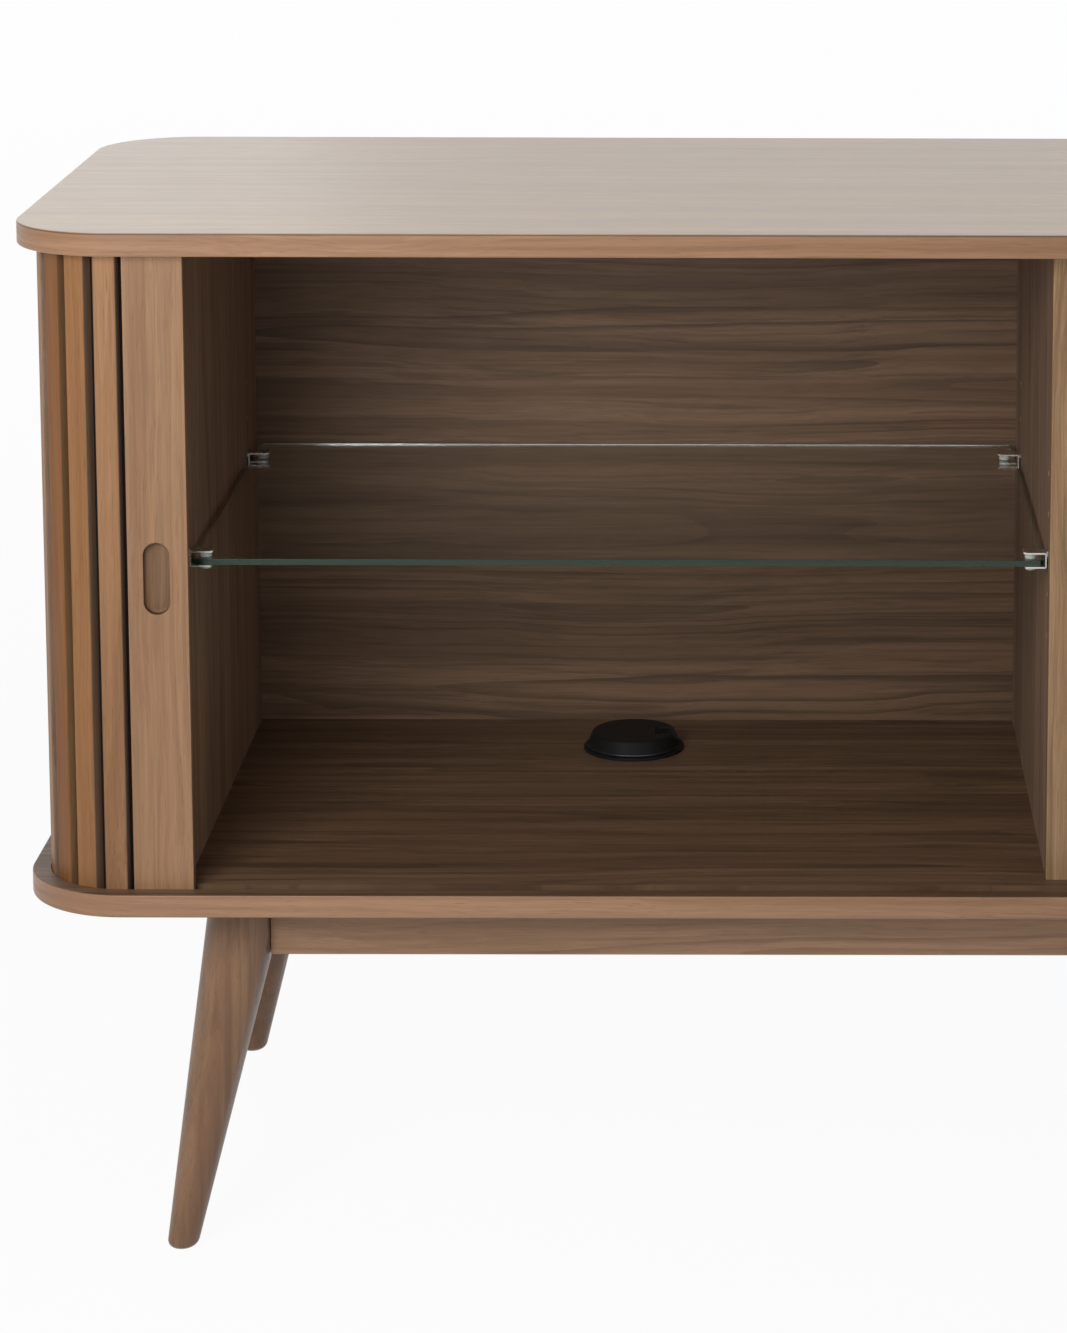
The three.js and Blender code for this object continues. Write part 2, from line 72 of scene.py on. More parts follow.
studio = {
    "floorReach": 14.0,
    "floorColour": (0.92, 0.92, 0.915, 1),
    "paper": (1.0, 1.0, 1.0, 1),  # what the camera and reflections see behind the cabinet
    "paperShare": (0.945, 0.985),  # how much of the floor shows as paper, near and far
    "surround": 0.22,  # how brightly the white room lights the cabinet
    "keyPlace": (-0.93, -1.30, 1.05),
    "keySize": 0.62,
    "keyPower": 7.4,
    "glossPower": 5.8,  # the share of the key that polish reflects
    "aim": (0.0, 0.0, 0.55),
    "sheenPlace": (-1.9, 3.2, 1.7),  # behind, for the sheen on the top
    "sheenSize": 2.2,
    "sheenPower": 5.0,
}


def makeCamera():
    data = bpy.data.cameras.new("camera")
    data.lens = view["lens"]
    data.sensor_width = 36
    data.shift_x, data.shift_y = view["shift"]
    data.clip_end = 60
    camera = bpy.data.objects.new("camera", data)
    camera.location = view["place"]
    camera.rotation_euler = [math.radians(angle) for angle in view["turn"]]
    bpy.context.scene.collection.objects.link(camera)
    bpy.context.scene.camera = camera


def makeSoftbox(name, place, size, power, glossy=True):
    data = bpy.data.lights.new(name, "AREA")
    data.size = size
    data.energy = power
    softbox = bpy.data.objects.new(name, data)
    softbox.location = place
    aim = Vector(studio["aim"]) - Vector(place)
    softbox.rotation_euler = aim.to_track_quat("-Z", "Y").to_euler()
    softbox.visible_camera = False
    softbox.visible_glossy = glossy
    bpy.context.scene.collection.objects.link(softbox)



def add(tree, kind, feeds=None, **settings):
    made = tree.nodes.new("ShaderNode" + kind)
    for name, value in settings.items():
        setattr(made, name, value)
    for socket, value in (feeds or {}).items():
        if isinstance(value, bpy.types.NodeSocket):
            tree.links.new(value, made.inputs[socket])
        else:
            made.inputs[socket].default_value = value
    return made


def startMaterial(name):
    material = bpy.data.materials.new(name)
    material.use_nodes = True
    material.node_tree.nodes.clear()
    return material, material.node_tree


def closeMaterial(material, shader):
    add(material.node_tree, "OutputMaterial", {"Surface": shader.outputs[0]})
    return material


def noise(tree, vector, stretch, detail=2.0, roughness=0.5):
    laid = add(tree, "Mapping", {"Vector": vector, "Scale": stretch})
    feeds = {"Vector": laid.outputs[0], "Scale": 1.0, "Detail": detail, "Roughness": roughness}
    return add(tree, "TexNoise", feeds).outputs["Fac"]


def spread(tree, value, low, high, toLow=0.0, toHigh=1.0):
    feeds = {"Value": value, "From Min": low, "From Max": high, "To Min": toLow, "To Max": toHigh}
    return add(tree, "MapRange", feeds, interpolation_type="SMOOTHSTEP").outputs[0]


def calc(tree, operation, *values):
    return add(tree, "Math", dict(enumerate(values)), operation=operation).outputs[0]


def mixColour(tree, factor, first, second, blend="MIX"):
    feeds = {0: factor, 6: first, 7: second}
    return add(tree, "Mix", feeds, data_type="RGBA", blend_type=blend).outputs[2]


def seenOnly(tree):
    # 1 for what the camera sees, directly, in a reflection or through glass
    path = add(tree, "LightPath")
    seen = calc(tree, "MAXIMUM", path.outputs["Is Camera Ray"], path.outputs["Is Glossy Ray"])
    return calc(tree, "MAXIMUM", seen, path.outputs["Is Transmission Ray"])


def makeStudio():
    world = bpy.data.worlds.new("white room")
    bpy.context.scene.world = world
    world.use_nodes = True
    tree = world.node_tree
    tree.nodes.clear()
    lit = add(tree, "Background", {"Color": (1, 1, 1, 1), "Strength": studio["surround"]})
    shown = add(tree, "Background", {"Color": studio["paper"], "Strength": 1.0})
    both = add(tree, "MixShader", {0: seenOnly(tree), 1: lit.outputs[0], 2: shown.outputs[0]})
    add(tree, "OutputWorld", {"Surface": both.outputs[0]})

    material, tree = startMaterial("paper floor")
    lit = add(tree, "BsdfDiffuse", {"Color": studio["floorColour"]})
    shown = add(tree, "Emission", {"Color": studio["paper"], "Strength": 1.0})
    place = add(tree, "TexCoord").outputs["Object"]
    away = add(tree, "SeparateXYZ", {"Vector": place}).outputs["Y"]
    fade = spread(tree, away, -1.0, 7.0, *studio["paperShare"])
    share = calc(tree, "MULTIPLY", seenOnly(tree), fade)
    both = add(tree, "MixShader", {0: share, 1: lit.outputs[0], 2: shown.outputs[0]})
    closeMaterial(material, both)

    bm = bmesh.new()
    bmesh.ops.create_grid(bm, x_segments=8, y_segments=8, size=studio["floorReach"])
    mesh = bpy.data.meshes.new("floor")
    bm.to_mesh(mesh)
    bm.free()
    mesh.materials.append(material)
    floor = bpy.data.objects.new("floor", mesh)
    bpy.context.scene.collection.objects.link(floor)

    makeSoftbox("key", studio["keyPlace"], studio["keySize"], studio["keyPower"], False)
    makeSoftbox("gloss", studio["keyPlace"], studio["keySize"], studio["glossPower"])
    makeSoftbox("sheen", studio["sheenPlace"], studio["sheenSize"], studio["sheenPower"])
    bpy.context.scene.view_settings.view_transform = "Standard"


makeCamera()
makeStudio()
print("camera, floor and light set")

usualCut = {
    "along": 0.8,  # how fast the figure changes along the grain and across it, per metre
    "across": 30,
    "rings": 8,  # growth lines in one step of the figure
    "ring": 0.24,  # how dark they are
    "ringStart": 0.40,  # the pale share of each step
    "line": 0.22,  # how dark the short lines and the fibres are
    "fibre": 0.24,
    "roughness": 0.45,
    "coat": 0.0,
    "coatRoughness": 0.22,
    "specular": 0.5,
}


def varied(usual, pale, dark, **own):
    # a look in its own two colours, and in whatever else differs from the usual one
    return {**usual, "pale": (*pale, 1), "dark": (*dark, 1), **own}


bandingCut = {**usualCut, "across": 60, "rings": 5, "ring": 0.20, "line": 0.20, "fibre": 0.20}
bandingCut.update(roughness=0.42, coat=0.1)
innerCut = {**usualCut, "along": 0.5, "across": 17, "rings": 11, "ring": 0.72, "ringStart": 0.6}
panelCut = {**usualCut, "along": 0.75, "across": 18, "rings": 10, "ring": 0.6, "line": 0.45}
panelCut.update(ringStart=0.55, fibre=0.28, roughness=0.55)
walnutLooks = {
    "top": varied(  # lacquered veneer of the top
        usualCut, (0.545, 0.330, 0.155), (0.450, 0.262, 0.116), across=22, ring=0.16,
        line=0.12, fibre=0.15, roughness=0.40, coat=0.75, coatRoughness=0.32),
    "edge": varied(  # banding glued along the boards' edges
        bandingCut, (0.416, 0.23, 0.128), (0.335, 0.173, 0.09)),
    "seam": varied(  # stained line where the banding meets the veneer
        bandingCut, (0.215, 0.120, 0.066), (0.160, 0.085, 0.045)),
    "stile": varied(  # the door's solid lead piece
        usualCut, (0.375, 0.209, 0.107), (0.299, 0.155, 0.075), coat=0.1),
    "slat": varied(  # strips of the curtain
        usualCut, (0.348, 0.178, 0.083), (0.267, 0.127, 0.055), across=34, rings=7,
        specular=0.3),
    "side": varied(  # sawn sides of the slats, darker than the faces as painted shade of the gaps, and greyer
        usualCut, (0.215, 0.138, 0.094), (0.135, 0.083, 0.055), across=34, rings=7,
        ring=0.2, line=0.2, fibre=0.2, roughness=0.6),
    "inside": varied(  # plainer veneer inside the carcass, its colours darkened as painted shade
        innerCut, (0.252, 0.149, 0.089), (0.161, 0.092, 0.051), line=0.55, fibre=0.28,
        roughness=0.55),
    "bayFloor": varied(  # bottom board's face, darkened as painted shade inside the bays
        innerCut, (0.205, 0.118, 0.066), (0.131, 0.072, 0.039), line=0.6, fibre=0.28,
        roughness=0.5),
    "upright": varied(  # side panels
        panelCut, (0.385, 0.239, 0.15), (0.252, 0.146, 0.088)),
    # darker than the side panels: painted shade inside the carcass
    "divider": varied(panelCut, (0.27, 0.172, 0.114), (0.176, 0.106, 0.067)),
    "pull": varied(  # floor of the routed finger pull, darker as painted shade of the recess
        usualCut, (0.262, 0.150, 0.078), (0.200, 0.108, 0.054), across=60, ring=0.35,
        line=0.35, fibre=0.3, roughness=0.6),
    "pullWallShade": varied(  # its sides, darker still as painted shade on the recess walls
        usualCut, (0.130, 0.062, 0.026), (0.085, 0.040, 0.016), across=60, ring=0.3,
        line=0.3, fibre=0.3, roughness=0.7),
    "rail": varied(  # under-frame rails
        usualCut, (0.55, 0.325, 0.188), (0.424, 0.235, 0.13), along=1.2, rings=9,
        ring=0.40, line=0.25, fibre=0.25, coat=0.05),
    "lipping": varied(  # quarter-cut strip on the front edge of an upright panel
        usualCut, (0.488, 0.308, 0.162), (0.366, 0.213, 0.107), along=0.9, across=75,
        rings=9, ring=0.65, line=0.35, fibre=0.35, roughness=0.5),
    "leg": varied(  # turned solid wood
        usualCut, (0.299, 0.161, 0.082), (0.223, 0.111, 0.054), across=26, ring=0.28,
        line=0.25, fibre=0.22, roughness=0.42, coat=0.1),
}
grainTurns = {"x": (0, 0, 0), "y": (0, 0, -math.pi / 2), "z": (0, math.pi / 2, 0)}
woodGrain = {
    "drift": (1.3, 5, 5),  # slow and quick wander of the figure, and how far, in metres
    "driftReach": 0.05,
    "ripple": (7, 16, 16),
    "rippleReach": 0.008,
    "lines": (2.6, 170, 170),
    "fibres": (18, 900, 900),
    "pores": (45, 1500, 1500),
    "poreShade": 0.35,
    "deepShare": 0.40,  # of the dark colour, in the growth lines and pores
    "slatJump": (7.3, 3.1, 5.7),  # to another place in the tree for each slat
    "darkTone": (0.82, 0.62, 0.28, 1),
    "paleTone": (1.22, 1.34, 1.54, 1),
}


def makeWalnut(name, look, grain="x", byMap=False, inStrips=False):
    material, tree = startMaterial(name)
    if byMap:
        place = add(tree, "UVMap", uv_map="grain").outputs["UV"]
    else:
        place = add(tree, "TexCoord").outputs["Object"]
    turned = add(tree, "Mapping", {"Vector": place, "Rotation": grainTurns[grain]}).outputs[0]
    own = turned
    if inStrips:  # each slat is cut from another place and has its own tone
        strip = add(tree, "Attribute", attribute_name="strip").outputs["Fac"]
        jump = add(tree, "VectorMath", {0: woodGrain["slatJump"], 3: strip}, operation="SCALE")
        own = add(tree, "VectorMath", {0: turned, 1: jump.outputs[0]}, operation="ADD").outputs[0]

    drift = calc(tree, "MULTIPLY", noise(tree, own, woodGrain["drift"]), woodGrain["driftReach"])
    ripple = calc(tree, "MULTIPLY", noise(tree, own, woodGrain["ripple"]), woodGrain["rippleReach"])
    drift = calc(tree, "ADD", drift, ripple)
    aside = add(tree, "CombineXYZ", {1: drift, 2: drift}).outputs[0]
    wavy = add(tree, "VectorMath", {0: own, 1: aside}, operation="ADD").outputs[0]

    along, across = look["along"], look["across"]
    figure = noise(tree, wavy, (along, across, across), 1.0, 0.4)
    growth = calc(tree, "FRACT", calc(tree, "MULTIPLY", figure, look["rings"]))
    strong = spread(tree, noise(tree, own, (1.6, across, across), 1.0), 0.35, 0.65, 0.25, 1.0)
    ring = calc(tree, "MULTIPLY", spread(tree, growth, look["ringStart"], 0.97), strong)
    tint = noise(tree, wavy, (along * 1.4, across * 2.2, across * 2.2), 3.0, 0.6)
    lines = spread(tree, noise(tree, wavy, woodGrain["lines"], 4.0, 0.65), 0.46, 0.66)
    fibres = noise(tree, wavy, woodGrain["fibres"], 2.0, 0.6)
    pores = spread(tree, noise(tree, wavy, woodGrain["pores"], 1.0), 0.64, 0.72)

    deep = tuple(woodGrain["deepShare"] * channel for channel in look["dark"][:3]) + (1,)
    wood = mixColour(tree, spread(tree, tint, 0.34, 0.66), look["dark"], look["pale"])
    wood = mixColour(tree, calc(tree, "MULTIPLY", ring, look["ring"]), wood, deep)
    wood = mixColour(tree, calc(tree, "MULTIPLY", lines, look["line"]), wood, deep)
    wood = mixColour(tree, spread(tree, fibres, 0.35, 0.75, 0.0, look["fibre"]), wood, deep)
    wood = mixColour(tree, calc(tree, "MULTIPLY", pores, woodGrain["poreShade"]), wood, deep)
    if inStrips:
        tone = mixColour(tree, strip, woodGrain["darkTone"], woodGrain["paleTone"])
        wood = mixColour(tree, 1.0, wood, tone, "MULTIPLY")

    rough = spread(tree, fibres, 0.3, 0.7, look["roughness"] - 0.05, look["roughness"] + 0.06)
    relief = calc(tree, "SUBTRACT", fibres, calc(tree, "MULTIPLY", pores, 0.8))
    bump = add(tree, "Bump", {"Strength": 0.25, "Distance": 0.0003, "Height": relief})
    feeds = {
        "Base Color": wood,
        "Roughness": rough,
        "Normal": bump.outputs[0],
        "IOR": 1.5,
        "Specular IOR Level": look["specular"],
        "Coat Weight": look["coat"],
        "Coat Roughness": look["coatRoughness"],
    }
    return closeMaterial(material, add(tree, "BsdfPrincipled", feeds))


topWalnut = makeWalnut("walnut top", walnutLooks["top"], byMap=True)
edgeWalnut = makeWalnut("walnut banding", walnutLooks["edge"], byMap=True)
seamWalnut = makeWalnut("walnut seam", walnutLooks["seam"], byMap=True)
shadedFloorWalnut = makeWalnut("walnut bay floor in painted shade", walnutLooks["bayFloor"], byMap=True)
stileWalnut = makeWalnut("walnut stile", walnutLooks["stile"], "z")
slatWalnut = makeWalnut("walnut slat", walnutLooks["slat"], "z", inStrips=True)
slatSide = makeWalnut("slat side in painted shade", walnutLooks["side"], "z", inStrips=True)
uprightWalnut = makeWalnut("walnut upright panel", walnutLooks["upright"], "z")
shadedDividerWalnut = makeWalnut("walnut divider in painted shade", walnutLooks["divider"], "z")
pullShadeWalnut = makeWalnut("routed walnut", walnutLooks["pull"], "z")
pullWallShade = makeWalnut("routed walnut side in painted shade", walnutLooks["pullWallShade"], "z")
shadedBackWalnut = makeWalnut("walnut back panel in painted shade", walnutLooks["inside"], "x")
lippingWalnut = makeWalnut("walnut lipping", walnutLooks["lipping"], "z")
railWalnut = makeWalnut("walnut rail", walnutLooks["rail"], "x")
sideRailWalnut = makeWalnut("walnut side rail", walnutLooks["rail"], "y")
legWalnut = makeWalnut("walnut leg", walnutLooks["leg"], "z")


usualPlain = {"roughness": 0.5, "shine": 0.4, "grains": (1600, 1600, 1600), "relief": 0.12}
plainLooks = {
    "raw board": varied(
        usualPlain, (0.62, 0.50, 0.36), (0.42, 0.32, 0.21), roughness=0.8,
        grains=(900, 900, 900), relief=0.3),
    "black canvas": varied(
        usualPlain, (0.020, 0.017, 0.015), (0.008, 0.007, 0.006), roughness=0.9, shine=0.2,
        grains=(1500, 1500, 1500), relief=0.5),
    "brown back board": varied(
        usualPlain, (0.10, 0.075, 0.058), (0.055, 0.040, 0.030), roughness=0.6,
        grains=(40, 40, 500), relief=0.1),
    "black plastic": varied(
        usualPlain, (0.014, 0.014, 0.014), (0.009, 0.009, 0.009), shine=0.12),
    # glossier bead, its colour also a little paler: painted highlight along the cap's lower edge
    "polished plastic rim with painted highlight": varied(
        usualPlain, (0.022, 0.022, 0.022), (0.016, 0.016, 0.016), roughness=0.28, shine=0.95),
}
glassLooks = {  # a lamp's light goes through with a tint of its own
    "shelf glass": {
        "tint": (0.93, 0.97, 0.95, 1), "lampTint": (0.41, 0.40, 0.36, 1),
        "roughness": 0.0, "shine": 0.5, "clearness": 1.0,
    },
    "polished glass edge": {
        "tint": (0.14, 0.43, 0.22, 1), "lampTint": (0.4, 0.6, 0.5, 1),
        "roughness": 0.12, "shine": 0.08, "clearness": 0.93,
    },
    # the ground ends, painted near black and opaque as the shadow in the gap between glass and wall
    "ground glass end in painted shade": {
        "tint": (0.006, 0.011, 0.008, 1), "lampTint": (0.3, 0.4, 0.35, 1),
        "roughness": 0.4, "shine": 0.2, "clearness": 0.0,
    },
}
cloudedLooks = {
    "plated steel": {
        "pale": (0.72, 0.71, 0.69, 1),
        "dark": (0.55, 0.54, 0.52, 1),
        "grains": (300, 2400, 900),
        "roughness": (0.22, 0.34),
        "feeds": {"Metallic": 1.0},
    },
    "clear soft pad": {
        "pale": (0.86, 0.87, 0.84, 1),
        "dark": (0.70, 0.72, 0.68, 1),
        "grains": (400, 400, 400),
        "roughness": (0.25, 0.4),
        "feeds": {"Transmission Weight": 0.35, "IOR": 1.45},
    },
}


def makePlain(name):
    look = plainLooks[name]
    material, tree = startMaterial(name)
    place = add(tree, "TexCoord").outputs["Object"]
    speckle = noise(tree, place, look["grains"], 3.0, 0.6)
    colour = mixColour(tree, spread(tree, speckle, 0.35, 0.65), look["dark"], look["pale"])
    bump = add(tree, "Bump", {"Strength": look["relief"], "Distance": 0.0004, "Height": speckle})
    rough = spread(tree, speckle, 0.3, 0.7, look["roughness"] - 0.04, look["roughness"] + 0.06)
    feeds = {
        "Base Color": colour,
        "Roughness": rough,
        "Specular IOR Level": look["shine"],
        "Normal": bump.outputs[0],
    }
    return closeMaterial(material, add(tree, "BsdfPrincipled", feeds))


def makeGlass(name):
    look = glassLooks[name]
    material, tree = startMaterial(name)
    place = add(tree, "TexCoord").outputs["Object"]
    waves = noise(tree, place, (6, 6, 6), 1.0)
    bump = add(tree, "Bump", {"Strength": 0.02, "Distance": 0.001, "Height": waves})
    feeds = {
        "Base Color": look["tint"],
        "Transmission Weight": look["clearness"],
        "Roughness": look["roughness"],
        "IOR": 1.5,
        "Specular IOR Level": look["shine"],
        "Normal": bump.outputs[0],
    }
    shade = add(tree, "BsdfPrincipled", feeds)
    clear = add(tree, "BsdfTransparent", {"Color": look["lampTint"]})
    lamp = add(tree, "LightPath").outputs["Is Shadow Ray"]
    both = add(tree, "MixShader", {0: lamp, 1: shade.outputs[0], 2: clear.outputs[0]})
    return closeMaterial(material, both)


def makeClouded(name):
    look = cloudedLooks[name]
    material, tree = startMaterial(name)
    place = add(tree, "TexCoord").outputs["Object"]
    cloud = noise(tree, place, look["grains"])
    feeds = {
        "Base Color": mixColour(tree, cloud, look["dark"], look["pale"]),
        "Roughness": spread(tree, cloud, 0.3, 0.7, *look["roughness"]),
        **look["feeds"],
    }
    return closeMaterial(material, add(tree, "BsdfPrincipled", feeds))


rawBoard = makePlain("raw board")
canvas = makePlain("black canvas")
backing = makePlain("brown back board")
plastic = makePlain("black plastic")
rimPlasticHighlight = makePlain("polished plastic rim with painted highlight")
plated = makeClouded("plated steel")
clearGlass = makeGlass("shelf glass")
edgeGlass = makeGlass("polished glass edge")
shadedEndGlass = makeGlass("ground glass end in painted shade")
softPad = makeClouded("clear soft pad")
print("finishes made")


hair = 1e-6  # metres: nearer than this is the same place
cutHair = 1e-7


def vertsOf(parts):
    return [part for part in parts if isinstance(part, bmesh.types.BMVert)]


def facesOf(parts):
    return [part for part in parts if isinstance(part, bmesh.types.BMFace)]


def eachOnce(parts):
    # in the order they come, so that every run builds the same mesh
    return list(dict.fromkeys(parts))


def plainSheet(bm, low, high, z=0.0):
    # one level rectangle
    corners = bmesh.ops.create_grid(bm, x_segments=1, y_segments=1, size=0.5)["verts"]
    size = (high[0] - low[0], high[1] - low[1], 1)
    bmesh.ops.scale(bm, vec=size, verts=corners)
    middle = ((low[0] + high[0]) / 2, (low[1] + high[1]) / 2, z)
    bmesh.ops.translate(bm, vec=middle, verts=corners)
    return corners


def growFaces(bm, faces, matrix):
    # edges and corners go too, or the faces would stay behind inside the solid
    around = [part for face in faces for part in (*face.edges, *face.verts)]
    grown = bmesh.ops.extrude_face_region(bm, geom=eachOnce(faces + around))["geom"]
    bmesh.ops.transform(bm, matrix=matrix, verts=vertsOf(grown))
    return facesOf(grown)


def raiseFaces(bm, faces, height):
    return growFaces(bm, faces, Matrix.Translation((0, 0, height)))


def roundOff(bm, parts, width, steps, affect):
    bmesh.ops.bevel(
        bm,
        geom=parts,
        offset=width,
        offset_type="OFFSET",
        segments=steps,
        profile=0.5,
        affect=affect,
        clamp_overlap=affect == "EDGES",
        loop_slide=False,
        material=-1,
    )


def roundEdges(bm, edges, width, steps):
    roundOff(bm, edges, width, steps, "EDGES")


def roundCorners(bm, corners, width, steps):
    roundOff(bm, corners, width, steps, "VERTICES")


def bisect(bm, parts, point, normal, **clear):
    bmesh.ops.bisect_plane(bm, geom=parts, plane_co=point, plane_no=normal, dist=cutHair, **clear)


def everything(bm):
    return list(bm.verts) + list(bm.edges) + list(bm.faces)


def finishPiece(name, bm, finishes, body, replaced, smoothUnder=35, tidyNormals=True):
    if tidyNormals:
        bmesh.ops.recalc_face_normals(bm, faces=bm.faces)
    mesh = bpy.data.meshes.new(name)
    bm.to_mesh(mesh)
    bm.free()
    for finish in finishes:
        mesh.materials.append(finish)
    mesh.polygons.foreach_set("use_smooth", [True] * len(mesh.polygons))
    mesh.set_sharp_from_angle(angle=math.radians(smoothUnder))
    piece = bpy.data.objects.new(name, mesh)
    bpy.context.scene.collection.objects.link(piece)
    even = piece.modifiers.new("even shading", "WEIGHTED_NORMAL")  # keeps broad faces flat
    even.keep_sharp = True
    if body:
        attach(piece, body)
    if replaced:
        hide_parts(*replaced)
    return piece


def mirroredCopy(bm, axis=0):
    other = bm.copy()
    flip = [1, 1, 1]
    flip[axis] = -1
    bmesh.ops.scale(other, vec=flip, verts=other.verts)
    bmesh.ops.reverse_faces(other, faces=other.faces)
    return other


def copyOfNode(name):
    bm = bmesh.new()
    bm.from_mesh(frame["nodes"][name].data)
    bmesh.ops.remove_doubles(bm, verts=bm.verts, dist=hair)
    return bm


board = {
    "corner": 0.080,
    "ease": 0.0015,
    "trackInset": 0.014,
    "trackWidth": 0.012,
    "trackDepthTop": 0.010,
    "trackDepthBottom": 0.008,
    "rebateWidth": 0.0040,
    "rebateDepth": 0.0060,
    "rebateEnd": 0.0017,  # from the end of the straight back edge
    "cornerSteps": 40,
    "holeRadius": 0.0385,
    "stripArea": 0.002,  # square metres, less than the long strip of edge behind the track
    "seamDrop": 0.0003,  # below the upper face, where the stained seam starts
}
topLow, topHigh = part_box("top_board")
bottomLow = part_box("bottom_board")[0]
halfWidth = topHigh.x
halfDepth = topHigh.y
straightX = halfWidth - board["corner"]
straightY = halfDepth - board["corner"]
boardThickness = topHigh.z - topLow.z
ringLow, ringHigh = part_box("grommet_ring_left")
grommetPlace = (ringLow + ringHigh) / 2


def insetOf(x, y):
    # distance inside the boards' outline
    outX, outY = abs(x) - straightX, abs(y) - straightY
    past = math.hypot(max(outX, 0), max(outY, 0)) + min(max(outX, outY), 0)
    return board["corner"] - past


def runOf(x, y, side):
    # distance round the board's edge from the middle of its front
    corner, quarter = board["corner"], board["corner"] * math.pi / 2
    width = abs(x)
    if y < -straightY and width <= straightX:
        run = width
    elif y < -straightY:
        run = straightX + corner * math.atan2(width - straightX, -straightY - y)
    elif y <= straightY and width > straightX:
        run = straightX + quarter + y + straightY
    elif width > straightX:
        run = straightX + quarter + 2 * straightY
        run += corner * math.atan2(y - straightY, width - straightX)
    else:
        run = 2 * straightX + 2 * quarter + 2 * straightY - width
    return side * run


def layGrain(bm):
    # the banding's grain runs round the board, the faces' grain along its length
    top = max(vert.co.z for vert in bm.verts)
    grain = bm.loops.layers.uv.new("grain")
    for face in bm.faces:
        middle = face.calc_center_median()
        banded = abs(face.normal.z) < 0.75 and insetOf(middle.x, middle.y) < 2 * board["ease"]
        face.material_index = 1 if banded else 0
        if banded and face.normal.z > 0.15 and top - middle.z > board["seamDrop"]:
            face.material_index = 2
        side = 1 if middle.x > 0 else -1
        for loop in face.loops:
            x, y, z = loop.vert.co
            loop[grain].uv = (runOf(x, y, side), z) if banded else (x, y)


def makeBoard(name, node, trackDepth, trackUp, holes, finishes):
    bm = bmesh.new()
    corners = plainSheet(bm, (-halfWidth, -halfDepth), (halfWidth, halfDepth))
    roundCorners(bm, corners, board["corner"], board["cornerSteps"])
    core = bm.faces[:][0]
    for width in (board["trackInset"], board["trackWidth"]):
        bmesh.ops.inset_region(
            bm, faces=[core], thickness=width, use_boundary=True, use_even_offset=True
        )

    rebateX = straightX - board["rebateEnd"]
    rebateY = halfDepth - board["rebateWidth"]

    def backStrip():
        faces = [
            face
            for face in bm.faces
            if face.calc_center_median().y > straightY
            and insetOf(*face.calc_center_median().xy) < board["trackInset"]
            and face.calc_area() > board["stripArea"]
        ]
        return faces + [edge for face in faces for edge in face.edges]

    for x in (-rebateX, rebateX):
        bisect(bm, backStrip(), (x, 0, 0), (1, 0, 0))
    bisect(bm, backStrip(), (0, rebateY, 0), (0, 1, 0))

    if holes:
        rim = list(core.edges)
        bmesh.ops.delete(bm, geom=[core], context="FACES_ONLY")
        for x in (-grommetPlace.x, grommetPlace.x):
            place = Matrix.Translation((x, grommetPlace.y, 0))
            circle = bmesh.ops.create_circle(
                bm, cap_ends=False, segments=64, radius=board["holeRadius"], matrix=place
            )["verts"]
            rim += eachOnce(edge for vert in circle for edge in vert.link_edges)
        bmesh.ops.triangle_fill(bm, use_beauty=True, use_dissolve=False, edges=rim)

    def zone(face):
        middle = face.calc_center_median()
        inset = insetOf(middle.x, middle.y)
        if board["trackInset"] < inset < board["trackInset"] + board["trackWidth"]:
            return "track"
        if middle.y > rebateY and abs(middle.x) < rebateX:
            return "rebate"
        return "flat"

    faces = raiseFaces(bm, list(bm.faces), boardThickness - trackDepth)
    faces = [face for face in faces if zone(face) != "track"]
    faces = raiseFaces(bm, faces, trackDepth - board["rebateDepth"])
    faces = [face for face in faces if zone(face) != "rebate"]
    raiseFaces(bm, faces, board["rebateDepth"])

    levels = (0, boardThickness)
    rims = [
        edge
        for edge in bm.edges
        if all(abs(insetOf(v.co.x, v.co.y)) < 1e-5 for v in edge.verts)
        and any(all(abs(v.co.z - level) < hair for v in edge.verts) for level in levels)
    ]
    roundEdges(bm, rims, board["ease"], 4)
    bisect(bm, everything(bm), (0, 0, 0), (1, 0, 0))
    low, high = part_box(node)
    if trackUp:
        bmesh.ops.translate(bm, vec=(0, 0, low.z), verts=bm.verts)
    else:
        bmesh.ops.scale(bm, vec=(1, 1, -1), verts=bm.verts)
        bmesh.ops.translate(bm, vec=(0, 0, high.z), verts=bm.verts)
    bmesh.ops.recalc_face_normals(bm, faces=bm.faces)
    layGrain(bm)
    return finishPiece(name, bm, finishes, "carcass", [node])


makeBoard("topBoard", "top_board", board["trackDepthTop"], False, False,
          [topWalnut, edgeWalnut, seamWalnut])
makeBoard("bottomBoard", "bottom_board", board["trackDepthBottom"], True, True,
          [shadedFloorWalnut, edgeWalnut, edgeWalnut])
print("boards made")

slat = {
    "base": 0.0190,
    "gap": 0.0025,
    "face": 0.0170,
    "thickness": 0.0092,
    "shoulder": 0.0025,
    "ease": 0.0015,
    "canvas": 0.0007,
    "runGap": 0.0003,
    "stileGap": 0.0042,
    "counts": {"front_corner": 4, "side": 17, "back_corner": 4, "back": 32},
    "seed": 46852,
}
stileLow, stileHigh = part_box("door_stile_left")
slatPitch = slat["base"] + slat["gap"]
faceInset = halfDepth + stileLow.y
baseInset = faceInset + slat["thickness"]
baseRadius = board["corner"] - baseInset
firstSlat = -stileLow.x + slat["stileGap"] + slat["face"] / 2
curtainLow, curtainHigh = stileLow.z, stileHigh.z


